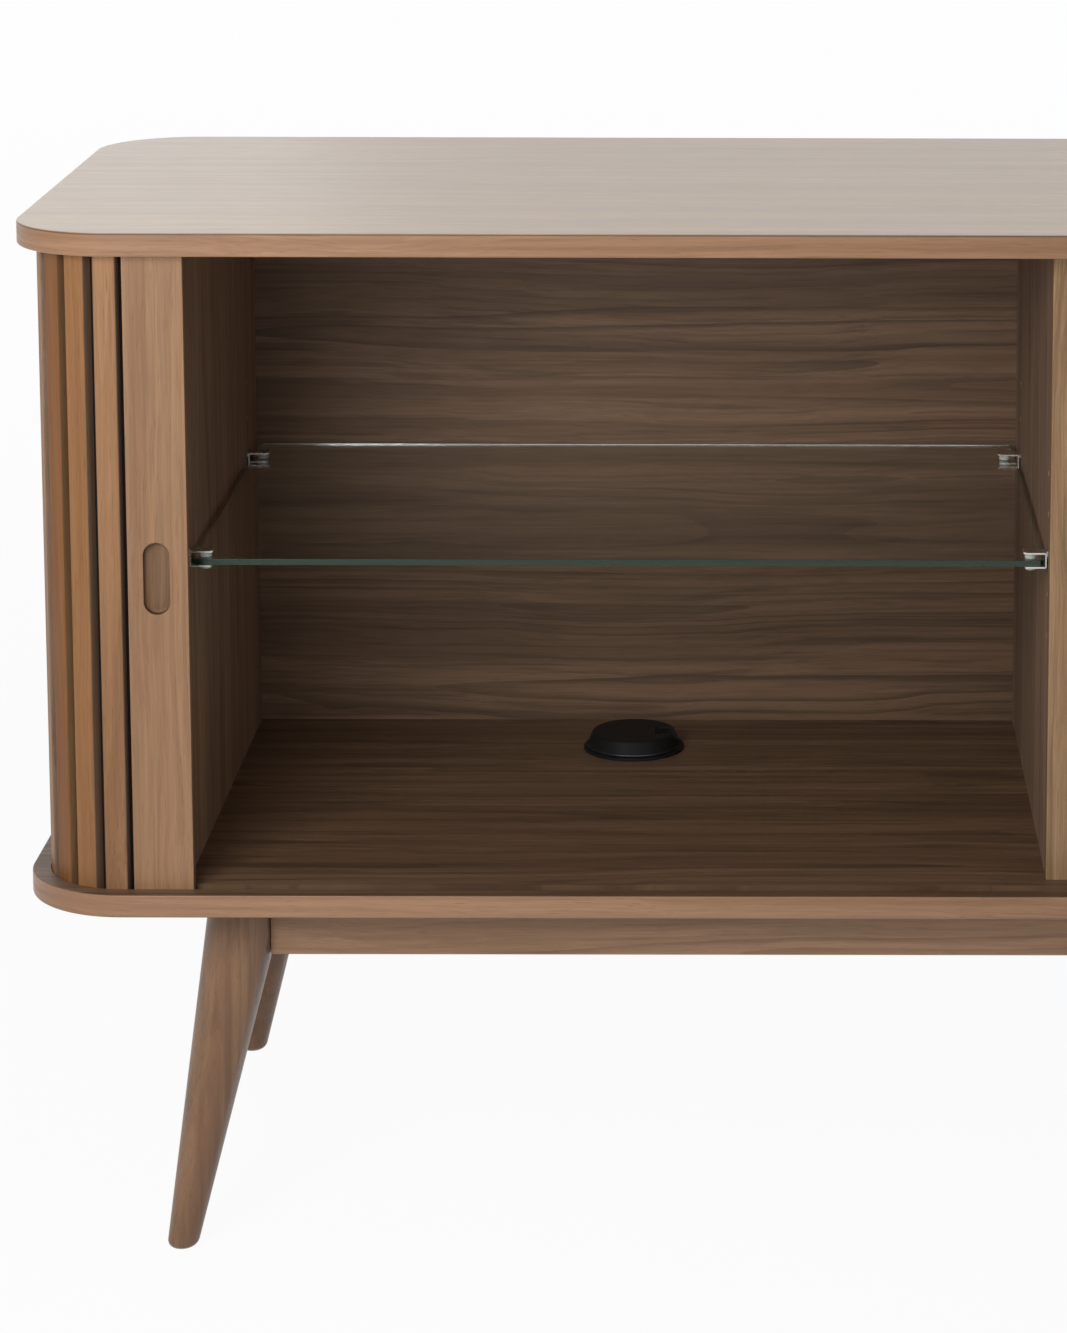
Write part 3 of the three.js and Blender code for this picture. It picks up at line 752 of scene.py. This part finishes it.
def trackPlace(run):
    # the canvas line of the left curtain, from the middle of the front: where, and how far turned
    quarter = baseRadius * math.pi / 2
    side = 2 * straightY
    if run <= straightX:
        return Vector((-run, baseInset - halfDepth, 0)), 0.0
    run -= straightX
    if run <= quarter:
        turn = run / baseRadius
        out, back = baseRadius * math.sin(turn), baseRadius * math.cos(turn)
        return Vector((-straightX - out, -straightY - back, 0)), turn
    run -= quarter
    if run <= side:
        return Vector((baseInset - halfWidth, run - straightY, 0)), math.pi / 2
    run -= side
    if run <= quarter:
        turn = math.pi / 2 + run / baseRadius
        out, back = baseRadius * math.sin(turn), baseRadius * math.cos(turn)
        return Vector((-straightX - out, straightY - back, 0)), turn
    run -= quarter
    return Vector((run - straightX, halfDepth - baseInset, 0)), math.pi


def trackMatrix(run):
    spot, turn = trackPlace(run)
    return Matrix.Translation(spot) @ Matrix.Rotation(-turn, 4, "Z")


def makeSlat(thickness):
    # one slat with its back on y = 0, facing -y
    bm = bmesh.new()
    half = slat["base"] / 2
    plainSheet(bm, (-half, -thickness), (half, 0), curtainLow)
    bisect(bm, everything(bm), (0, -slat["shoulder"], 0), (0, 1, 0))
    front = [v for v in bm.verts if v.co.y < -thickness + hair]
    for vert in front:
        vert.co.x *= slat["face"] / slat["base"]
    roundCorners(bm, front, slat["ease"], 3)
    raiseFaces(bm, list(bm.faces), curtainHigh - curtainLow)
    bmesh.ops.recalc_face_normals(bm, faces=bm.faces)
    for face in bm.faces:
        face.material_index = 2 if abs(face.normal.x) > 0.9 else 0
    mesh = bpy.data.meshes.new("slat")
    bm.to_mesh(mesh)
    bm.free()
    return mesh


def addMesh(bm, mesh, matrix):
    old = set(bm.verts)
    oldFaces = set(bm.faces)
    bm.from_mesh(mesh)
    bmesh.ops.transform(bm, matrix=matrix, verts=[v for v in bm.verts if v not in old])
    return [f for f in bm.faces if f not in oldFaces]


def addCanvas(bm, start, end, material, place=trackMatrix, steps=24):
    # a thin strip swept along the track
    old = set(bm.faces)
    corners = bmesh.ops.create_grid(bm, x_segments=1, y_segments=1, size=0.5)["verts"]
    stand = Matrix.Rotation(math.pi / 2, 4, "Y")
    bmesh.ops.transform(bm, matrix=stand, verts=corners)
    size = (1, slat["canvas"], curtainHigh - curtainLow)
    bmesh.ops.scale(bm, vec=size, verts=corners)
    middle = (0, slat["canvas"] / 2, (curtainLow + curtainHigh) / 2)
    bmesh.ops.translate(bm, vec=middle, verts=corners)
    here = place(start)
    bmesh.ops.transform(bm, matrix=here, verts=corners)
    tip = [face for face in bm.faces if face not in old]
    for step in range(steps):
        there = place(start + (end - start) * (step + 1) / steps)
        tip = growFaces(bm, tip, there @ here.inverted())
        here = there
    for face in bm.faces:
        if face not in old:
            face.material_index = material


def makeCurtains():
    slatMesh = makeSlat(slat["thickness"])
    chance = random.Random(slat["seed"])
    done = 0
    for place, count in slat["counts"].items():
        bm = bmesh.new()
        strip = bm.faces.layers.float.new("strip")
        start = firstSlat + done * slatPitch
        for i in range(count):
            tone = max(chance.random(), chance.random())  # few dark ones
            for face in addMesh(bm, slatMesh, trackMatrix(start + i * slatPitch)):
                face[strip] = tone
        reach = slatPitch / 2 - slat["runGap"] / 2
        addCanvas(bm, start - reach, start + (count - 1) * slatPitch + reach, 1)
        done += count
        word = place.title().replace("_", "")
        other = mirroredCopy(bm)
        strip = other.faces.layers.float["strip"]
        for face in other.faces:  # tones of its own for the right side
            face[strip] = max(face[strip] * 7.7 % 1, face[strip] * 3.1 % 1)
        for side, half in (("left", bm), ("right", other)):
            finishPiece(
                f"curtain{word}{side.title()}",
                half,
                [slatWalnut, canvas, slatSide],
                "carcass",
                [f"tambour_{side}_{place}"],
            )
    bpy.data.meshes.remove(slatMesh)


makeCurtains()
print("curtains made")

stile = {
    "ease": 0.0008,
    "rebateWidth": 0.0076,  # let in behind the outer edge for the canvas
    "rebateLip": 0.0025,
    "pullWidth": 0.020,
    "pullLength": 0.056,
    "pullDepth": 0.0075,
    "pullRim": 0.0006,
    "pullFillet": 0.0022,
    "pullSteps": 48,
    "pullShift": (-0.0010, -0.0030),  # sideways and up from the middle
    "wallStart": 0.0008,  # below the stile's face
}


def longLoop(bm, radius, straight, centre, y):
    # an upright loop of two half circles and the straights between them
    stand = Matrix.Rotation(math.pi / 2, 4, "X")
    halfStep = Matrix.Rotation(math.pi / stile["pullSteps"], 4, "Z")
    place = Matrix.Translation((centre.x, y, centre.z)) @ stand @ halfStep
    loop = bmesh.ops.create_circle(
        bm, cap_ends=False, segments=stile["pullSteps"], radius=radius, matrix=place
    )["verts"]
    for vert in loop:
        vert.co.z += straight if vert.co.z > centre.z else -straight
    return eachOnce(edge for vert in loop for edge in vert.link_edges)


def makeStile():
    bm = bmesh.new()
    plainSheet(bm, stileLow, stileHigh, stileLow.z)
    rebateX, rebateY = stileLow.x + stile["rebateWidth"], stileLow.y + stile["rebateLip"]
    bisect(bm, everything(bm), (rebateX, 0, 0), (1, 0, 0))
    bisect(bm, everything(bm), (0, rebateY, 0), (0, 1, 0))
    spare = [
        face
        for face in bm.faces
        if face.calc_center_median().x < rebateX and face.calc_center_median().y > rebateY
    ]
    bmesh.ops.delete(bm, geom=spare, context="FACES")
    bmesh.ops.dissolve_faces(bm, faces=list(bm.faces), use_verts=True)
    corners = [v for v in bm.verts if v.co.y < rebateY - hair or v.co.x > rebateX + hair]
    corners = [v for v in corners if v.co.y < stileLow.y + hair or v.co.x > stileHigh.x - hair]
    roundCorners(bm, corners, stile["ease"], 3)
    raiseFaces(bm, list(bm.faces), stileHigh.z - stileLow.z)
    bmesh.ops.recalc_face_normals(bm, faces=bm.faces)
    front = max((f for f in bm.faces if f.normal.y < -0.99), key=lambda f: f.calc_area())
    rim = list(front.edges)
    bmesh.ops.delete(bm, geom=[front], context="FACES_ONLY")
    centre = (stileLow + stileHigh) / 2
    centre += Vector((stile["pullShift"][0], 0, stile["pullShift"][1]))
    straight = (stile["pullLength"] - stile["pullWidth"]) / 2
    radius, depth = stile["pullWidth"] / 2, stile["pullDepth"]
    steps = []
    for i in range(4):
        turn = math.pi / 2 * i / 3
        grow = stile["pullRim"] * (1 - math.sin(turn))
        steps.append((radius + grow, stile["pullRim"] * (1 - math.cos(turn))))
    for i in range(6):
        turn = math.pi / 2 * i / 5
        shrink = stile["pullFillet"] * (1 - math.cos(turn))
        steps.append((radius - shrink, depth - stile["pullFillet"] * (1 - math.sin(turn))))
    loops = [longLoop(bm, r, straight, centre, stileLow.y + back) for r, back in steps]
    bmesh.ops.triangle_fill(bm, use_beauty=True, edges=rim + loops[0])
    for first, second in zip(loops, loops[1:]):
        bmesh.ops.bridge_loops(bm, edges=first + second)
    bmesh.ops.edgeloop_fill(bm, edges=loops[-1])
    # the recess floor and sides take the darker looks: painted shade in the finger pull
    for face in bm.faces:
        spot = face.calc_center_median() - centre
        inside = abs(spot.x) < radius and abs(spot.z) < radius + straight
        if inside and spot.y < stileHigh.y - centre.y - 0.001:
            deep = face.calc_center_median().y - stileLow.y
            if deep > depth - stile["pullFillet"] * 0.75:
                face.material_index = 1
            elif deep > stile["wallStart"]:
                face.material_index = 2
    return bm


leftStile = makeStile()
rightStile = mirroredCopy(leftStile)
stileLooks = [stileWalnut, pullShadeWalnut, pullWallShade]
for side, bm in (("left", leftStile), ("right", rightStile)):
    finishPiece("doorStile" + side.title(), bm, stileLooks, side + "_door",
                ["door_stile_" + side])
print("door stiles made")

# The part of each curtain that a shut door draws across the front.
closing = {
    "count": 31,
    "recess": 0.0002,  # behind the stile's lip
    "tail": 0.0074,  # length of its folded stack, in the stile's rebate
    "canvasSteps": 124,
    "seed": 21,
}
travel = max(joint["range_m"][1] for joint in frame["joints"] if joint["type"] == "slide")


def foldedPlace(x):
    # where a point of the drawn curtain stands while the door is open, so that the blend
    # from carcass to door carries it to x as the door shuts
    start = stileLow.x
    if x <= start:
        return x
    low, high = 0.0, 1.0
    for _ in range(60):
        share = (low + high) / 2
        reached = start + closing["tail"] * share + travel * share * share * (3 - 2 * share)
        low, high = (share, high) if reached < x else (low, share)
    return start + closing["tail"] * low


def makeClosingCurtains():
    face = stileLow.y + stile["rebateLip"] + closing["recess"]
    slatMesh = makeSlat(baseInset - halfDepth - face)
    chance = random.Random(closing["seed"])
    bm = bmesh.new()
    strip = bm.faces.layers.float.new("strip")
    for i in range(closing["count"]):
        tone = max(chance.random(), chance.random())  # few dark ones
        for part in addMesh(bm, slatMesh, trackMatrix(firstSlat - (i + 1) * slatPitch)):
            part[strip] = tone
    start = firstSlat - slatPitch / 2 - slat["runGap"] / 2
    end = -(stileLow.x + closing["tail"] + travel)
    addCanvas(bm, start, end, 1, steps=closing["canvasSteps"])
    bpy.data.meshes.remove(slatMesh)
    bmesh.ops.recalc_face_normals(bm, faces=bm.faces)
    for vert in bm.verts:
        vert.co.x = foldedPlace(vert.co.x)
    other = mirroredCopy(bm)
    for side, half, sign in (("left", bm, 1), ("right", other, -1)):
        name = "curtainClosing" + side.title()
        looks = [slatWalnut, canvas, slatSide]
        piece = finishPiece(name, half, looks, None, [], 35, False)
        first = (sign * stileLow.x, 0, 0)
        last = (sign * (stileLow.x + closing["tail"]), 0, 0)
        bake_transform(piece, "carcass", side + "_door", first, last)


makeClosingCurtains()
print("closing curtains made")

panel = {
    "holeSpan": 0.0125,  # longer than any face inside a shelf-pin hole
    "holeFromEnds": 0.02,
    "holeFromFloor": 0.05,
}


def makePanel(name, node, finishes):
    bm = copyOfNode(node)
    low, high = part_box(node)
    for face in bm.faces:
        middle = face.calc_center_median()
        size = max((a.co - b.co).length for a in face.verts for b in face.verts)
        inHole = (
            size < panel["holeSpan"]
            and low.y + panel["holeFromEnds"] < middle.y < high.y - panel["holeFromEnds"]
            and low.z + panel["holeFromFloor"] < middle.z < high.z - panel["holeFromFloor"]
        )
        face.material_index = 2 if inHole else 1 if face.normal.y < -0.6 else 0
    return finishPiece(name, bm, finishes, "carcass", [node], 30, False)


for node, name, veneer in (
    ("side_panel_left", "sidePanelLeft", uprightWalnut),
    ("side_panel_right", "sidePanelRight", uprightWalnut),
    ("centre_divider", "centreDivider", shadedDividerWalnut),
):
    makePanel(name, node, [veneer, lippingWalnut, rawBoard])


nodeFinishes = {
    "inner_back_panel": shadedBackWalnut,
    "outer_back_panel": backing,
    "rail_front": railWalnut,
    "rail_back": railWalnut,
    "rail_side_left": sideRailWalnut,
    "rail_side_right": sideRailWalnut,
    **{node: backing for node in frame["nodes"] if node.startswith("corner_block")},
}
for node, finish in nodeFinishes.items():
    for holder in frame["nodes"][node].material_slots:
        holder.material = finish
print("panels and rails finished")

leg = {
    "topRadius": 0.031,
    "footRadius": 0.012,
    "footEase": 0.0060,
    "splay": (0.0535, 0.0395),
    "fromEnd": 0.1685,
    "fromFront": 0.088,
    "flatOffset": 0.0155,
    "steps": 96,
}


def makeLeg():
    low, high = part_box("leg_front_left")
    full = bottomLow.z
    top = high.z
    bm = bmesh.new()
    topRadius = leg["footRadius"] + (leg["topRadius"] - leg["footRadius"]) * top / full
    bmesh.ops.create_cone(
        bm,
        cap_ends=True,
        segments=leg["steps"],
        radius1=leg["footRadius"],
        radius2=topRadius,
        depth=top,
        matrix=Matrix.Translation((0, 0, top / 2)),
    )
    foot = [e for e in bm.edges if all(v.co.z < hair for v in e.verts)]
    roundEdges(bm, foot, leg["footEase"], 6)
    legX, legY = leg["fromEnd"] - halfWidth, leg["fromFront"] - halfDepth
    splayX, splayY = leg["splay"]
    lean = Matrix.Identity(4)
    lean[0][2], lean[0][3] = splayX / full, legX - splayX
    lean[1][2], lean[1][3] = splayY / full, legY - splayY
    bmesh.ops.transform(bm, matrix=lean, verts=bm.verts)
    for normal, spot in (((1, 0, 0), legX), ((0, 1, 0), legY)):
        point = [leg["flatOffset"] + spot if n else 0 for n in normal]
        bisect(bm, everything(bm), point, normal, clear_outer=True)
        bmesh.ops.holes_fill(bm, edges=[e for e in bm.edges if e.is_boundary], sides=0)
    return bm


frontLeft = makeLeg()
frontRight = mirroredCopy(frontLeft)
legs = {
    "front_left": frontLeft,
    "front_right": frontRight,
    "back_left": mirroredCopy(frontLeft, 1),
    "back_right": mirroredCopy(frontRight, 1),
}
for word, bm in legs.items():
    name = "leg" + word.title().replace("_", "")
    finishPiece(name, bm, [legWalnut], "carcass", ["leg_" + word])
print("legs made")

shelf = {
    "cornerClip": 0.0025,
    "polish": 0.0005,
    "reach": 0.0025,  # towards the clips at each end
}
clip = {
    "sheet": 0.0012,
    "width": 0.0140,
    "stand": 0.0012,  # off the wall, on a collar
    "collarRadius": 0.0035,
    "upperTab": 0.0170,
    "lowerTab": 0.0175,
    "lip": (0.0020, 0.0018),
    "bend": 0.0012,
    "edge": 0.0002,
    "pegRadius": 0.0022,
    "pegLength": 0.0080,
    "pegRise": 0.0030,  # over the glass
    "padRadius": 0.0047,
    "padMiddle": 0.0131,  # from the wall
    "upperPad": 0.0045,
    "upperEase": 0.0009,
    "lowerPad": 0.0040,
    "lowerEase": 0.0016,
    "innerHead": 0.0004,  # the lower pad's head, between tab and glass
    "headRim": 0.0002,
    "neckRadius": 0.0018,
    "padSteps": 40,
}
glassLow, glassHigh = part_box("glass_shelf_left")
wallPlaces = {
    "left_bay_outer": (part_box("side_panel_left")[1].x, 1),
    "left_bay_inner": (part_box("centre_divider")[0].x, -1),
    "right_bay_inner": (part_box("centre_divider")[1].x, 1),
    "right_bay_outer": (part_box("side_panel_right")[0].x, -1),
}


def makeShelf(side):
    low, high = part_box("glass_shelf_" + side)
    bm = bmesh.new()
    reach = shelf["reach"]
    corners = plainSheet(bm, (low.x - reach, low.y), (high.x + reach, high.y), low.z)
    roundCorners(bm, corners, shelf["cornerClip"], 1)
    raiseFaces(bm, list(bm.faces), high.z - low.z)
    rims = [e for e in bm.edges if abs(e.verts[0].co.z - e.verts[1].co.z) < hair]
    roundEdges(bm, rims, shelf["polish"], 2)
    bmesh.ops.recalc_face_normals(bm, faces=bm.faces)
    for face in bm.faces:
        level, across = abs(face.normal.z) > 0.95, abs(face.normal.x) > 0.8
        face.material_index = 0 if level else 2 if across else 1
    finishPiece("glassShelf" + side.title(), bm, [clearGlass, edgeGlass, shadedEndGlass], "carcass",
                ["glass_shelf_" + side], 25)


def lathe(bm, points, place, steps, closed=False):
    verts = [bm.verts.new(place + Vector((radius, 0, height))) for radius, height in points]
    pairs = list(zip(verts, verts[1:])) + ([(verts[-1], verts[0])] if closed else [])
    edges = [bm.edges.new(pair) for pair in pairs]
    bmesh.ops.spin(
        bm,
        geom=verts + edges,
        axis=(0, 0, 1),
        cent=place,
        angle=2 * math.pi,
        steps=steps,
        use_merge=True,
    )
    bmesh.ops.remove_doubles(bm, verts=bm.verts, dist=hair)


def arc(radius, height, size, start, end, steps=5):
    # points of a rounded edge about a middle, angles in degrees
    turns = [math.radians(start + (end - start) * i / steps) for i in range(steps + 1)]
    return [(radius + size * math.cos(turn), height + size * math.sin(turn)) for turn in turns]


def makeStrip():
    # bent sheet on a wall at x = 0 that faces +x, with its peg, round y = 0
    lowest = glassLow.z - clip["innerHead"] - clip["sheet"]
    highest = glassHigh.z + clip["upperPad"] + clip["sheet"]
    lipOut, lipUp = clip["lip"]
    bm = bmesh.new()
    corners = [
        bm.verts.new((x, -clip["width"] / 2, z))
        for x, z in (
            (clip["lowerTab"], lowest),
            (clip["stand"], lowest),
            (clip["stand"], highest),
            (clip["upperTab"], highest),
            (clip["upperTab"] + lipOut, highest + lipUp - clip["sheet"]),
        )
    ]
    path = [bm.edges.new(pair) for pair in zip(corners, corners[1:])]
    grown = bmesh.ops.extrude_edge_only(bm, edges=path)["geom"]
    bmesh.ops.translate(bm, vec=(0, clip["width"], 0), verts=vertsOf(grown))
    bmesh.ops.recalc_face_normals(bm, faces=bm.faces)
    wall = next(face for face in bm.faces if abs(face.normal.x) > 0.9)
    if wall.normal.x > 0:
        bmesh.ops.reverse_faces(bm, faces=bm.faces)
    bends = [edge for edge in bm.edges if len(edge.link_faces) == 2]
    roundEdges(bm, bends, clip["bend"], 4)
    bmesh.ops.solidify(bm, geom=bm.faces, thickness=clip["sheet"])
    bmesh.ops.recalc_face_normals(bm, faces=bm.faces)
    rims = [edge for edge in bm.edges if edge.calc_face_angle(0) > math.radians(60)]
    roundEdges(bm, rims, clip["edge"], 1)
    turn = Matrix.Rotation(math.pi / 2, 4, "Y")
    face = clip["stand"] + clip["sheet"] / 2
    for radius, start in (("pegRadius", -clip["pegLength"]), ("collarRadius", 0)):
        middle = ((start + face) / 2, 0, glassHigh.z + clip["pegRise"])
        bmesh.ops.create_cone(
            bm,
            cap_ends=True,
            segments=24,
            radius1=clip[radius],
            radius2=clip[radius],
            depth=face - start,
            matrix=Matrix.Translation(middle) @ turn,
        )
    return bm


def makePad(points):
    bm = bmesh.new()
    lathe(bm, points, Vector((clip["padMiddle"], 0, 0)), clip["padSteps"])
    return bm


def makeUpperPad():
    radius, low, high = clip["padRadius"], glassHigh.z, glassHigh.z + clip["upperPad"]
    ease = clip["upperEase"]
    return makePad(
        [(0, low), *arc(radius - ease, low + ease, ease, -90, 0),
         *arc(radius - ease, high - ease, ease, 0, 90), (0, high)]
    )


def makeLowerPad():
    # a button through the lower tab: a thin head under the glass and a round one below
    radius, top = clip["padRadius"], glassLow.z
    tabTop = top - clip["innerHead"]
    tabLow = tabTop - clip["sheet"]
    low = top - clip["lowerPad"]
    ease, neck = clip["lowerEase"], clip["neckRadius"]
    return makePad(
        [(0, top), (radius - clip["headRim"], top), (radius, tabTop), (neck, tabTop),
         (neck, tabLow), (radius, tabLow),
         *arc(radius - ease, low + ease, ease, 0, -90), (0, low)]
    )


def setOnWall(bm, wall, way, y):
    if way < 0:
        bmesh.ops.scale(bm, vec=(-1, 1, 1), verts=bm.verts)
    bmesh.ops.translate(bm, vec=(wall, y, 0), verts=bm.verts)


for side in ("left", "right"):
    makeShelf(side)
for place, (wall, way) in wallPlaces.items():
    for end in ("front", "back"):
        padLow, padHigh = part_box(f"upper_pad_{place}_{end}")
        words = (place + "_" + end).title().replace("_", "")
        for kind, make, finish, slot in (
            ("shelf_clip", makeStrip, plated, "plated_clips"),
            ("upper_pad", makeUpperPad, softPad, "soft_pads"),
            ("lower_pad", makeLowerPad, softPad, "soft_pads"),
        ):
            bm = make()
            setOnWall(bm, wall, way, (padLow.y + padHigh.y) / 2)
            first, last = kind.split("_")
            name = first + last.title() + words
            finishPiece(name, bm, [finish], "carcass", [f"{kind}_{place}_{end}"], 40)
print("shelves and clips made")

grommet = {
    "flangeRadius": 0.043,
    "flange": 0.0025,
    "flangeEase": 0.0009,
    "sleeveRadius": 0.038,
    "sleeveWall": 0.0018,
    "sleeveLength": 0.016,
    "capRadius": 0.0405,
    "capWall": 0.0022,
    "capEdge": 0.0024,
    "capTaper": 0.0042,
    "capRise": 0.0018,
    "capBead": 0.0011,  # round its lower edge
    "skirtLength": 0.009,
    "skirtGap": 0.0003,
    "slotWidth": 0.022,
    "slotInner": 0.018,
    "steps": 96,
}
grommetSeat = ringHigh.z - grommet["flange"]


def makeRing(side, x):
    g = grommet
    inner = g["sleeveRadius"] - g["sleeveWall"]
    ease = g["flangeEase"]
    points = [
        (inner, -g["sleeveLength"]),
        (g["sleeveRadius"], -g["sleeveLength"]),
        (g["sleeveRadius"], 0),
        (g["flangeRadius"], 0),
        *arc(g["flangeRadius"] - ease, g["flange"] - ease, ease, 0, 90),
        *arc(inner + ease / 2, g["flange"] - ease / 2, ease / 2, 90, 180, 3),
    ]
    bm = bmesh.new()
    lathe(bm, points, Vector((x, grommetPlace.y, grommetSeat)), g["steps"], True)
    finishPiece("grommetRing" + side.title(), bm, [plastic], "carcass",
                ["grommet_ring_" + side], 50)


def cutSlot(bm, centre, inner, half):
    # a notch in the cap's side, from x = inner outwards
    for point, normal in (
        (centre + Vector((0, half, 0)), (0, 1, 0)),
        (centre - Vector((0, half, 0)), (0, 1, 0)),
        (Vector((inner, 0, 0)), (1, 0, 0)),
    ):
        bisect(bm, everything(bm), point, normal)
    slotFaces = [
        face
        for face in bm.faces
        if face.calc_center_median().x > inner
        and abs(face.calc_center_median().y - centre.y) < half
    ]
    bmesh.ops.delete(bm, geom=slotFaces, context="FACES")
    rim = eachOnce(vert for edge in bm.edges if edge.is_boundary for vert in edge.verts)
    ends = [
        vert
        for vert in rim
        if abs(vert.co.x - inner) < hair and abs(abs(vert.co.y - centre.y) - half) < hair
    ]
    for sign in (-1, 1):
        bm.edges.new([vert for vert in ends if (vert.co.y - centre.y) * sign > 0])
    walls = (
        lambda v: abs(v.co.x - inner) < hair,
        lambda v: abs(v.co.y - centre.y - half) < hair,
        lambda v: abs(v.co.y - centre.y + half) < hair,
    )
    for onWall in walls:
        loop = [e for e in bm.edges if len(e.link_faces) < 2 and all(onWall(v) for v in e.verts)]
        bmesh.ops.triangle_fill(bm, use_beauty=True, edges=loop)


def makeCap(side, x):
    g = grommet
    seat = g["flange"] + g["skirtGap"]
    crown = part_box("grommet_cap_left")[1].z - grommetSeat + g["capRise"]
    bead, edge = g["capBead"], g["capEdge"]
    rimRadius = g["capRadius"] - g["capTaper"]
    skirt = g["sleeveRadius"] - g["sleeveWall"] - g["skirtGap"]
    points = [
        (0, crown - g["capWall"]),
        (skirt - g["capWall"], crown - g["capWall"]),
        (skirt - g["capWall"], g["flange"] - g["skirtLength"]),
        (skirt, g["flange"] - g["skirtLength"]),
        (skirt, seat),
        *arc(g["capRadius"] - bead, seat + bead, bead, -90, 60, 7),
        (g["capRadius"] - 0.9 * bead, seat + 2 * bead),
        *arc(rimRadius - edge, crown - edge, edge, 12, 90),
        (0, crown),
    ]
    bm = bmesh.new()
    place = Vector((x, grommetPlace.y, grommetSeat))
    lathe(bm, points, place, g["steps"])
    cutSlot(bm, Vector((x, grommetPlace.y, 0)), x + g["slotInner"], g["slotWidth"] / 2)
    for face in bm.faces:  # the bead is polished, and a little paler as a painted highlight
        middle = face.calc_center_median() - place
        if middle.xy.length > g["capRadius"] - 0.8 * bead and middle.z < seat + 1.7 * bead:
            face.material_index = 1
    finishPiece("grommetCap" + side.title(), bm, [plastic, rimPlasticHighlight], side + "_cap",
                ["grommet_cap_" + side], 50)


for side, x in (("left", grommetPlace.x), ("right", -grommetPlace.x)):
    makeRing(side, x)
    makeCap(side, x)
print("grommets made")

print("cabinet finished")
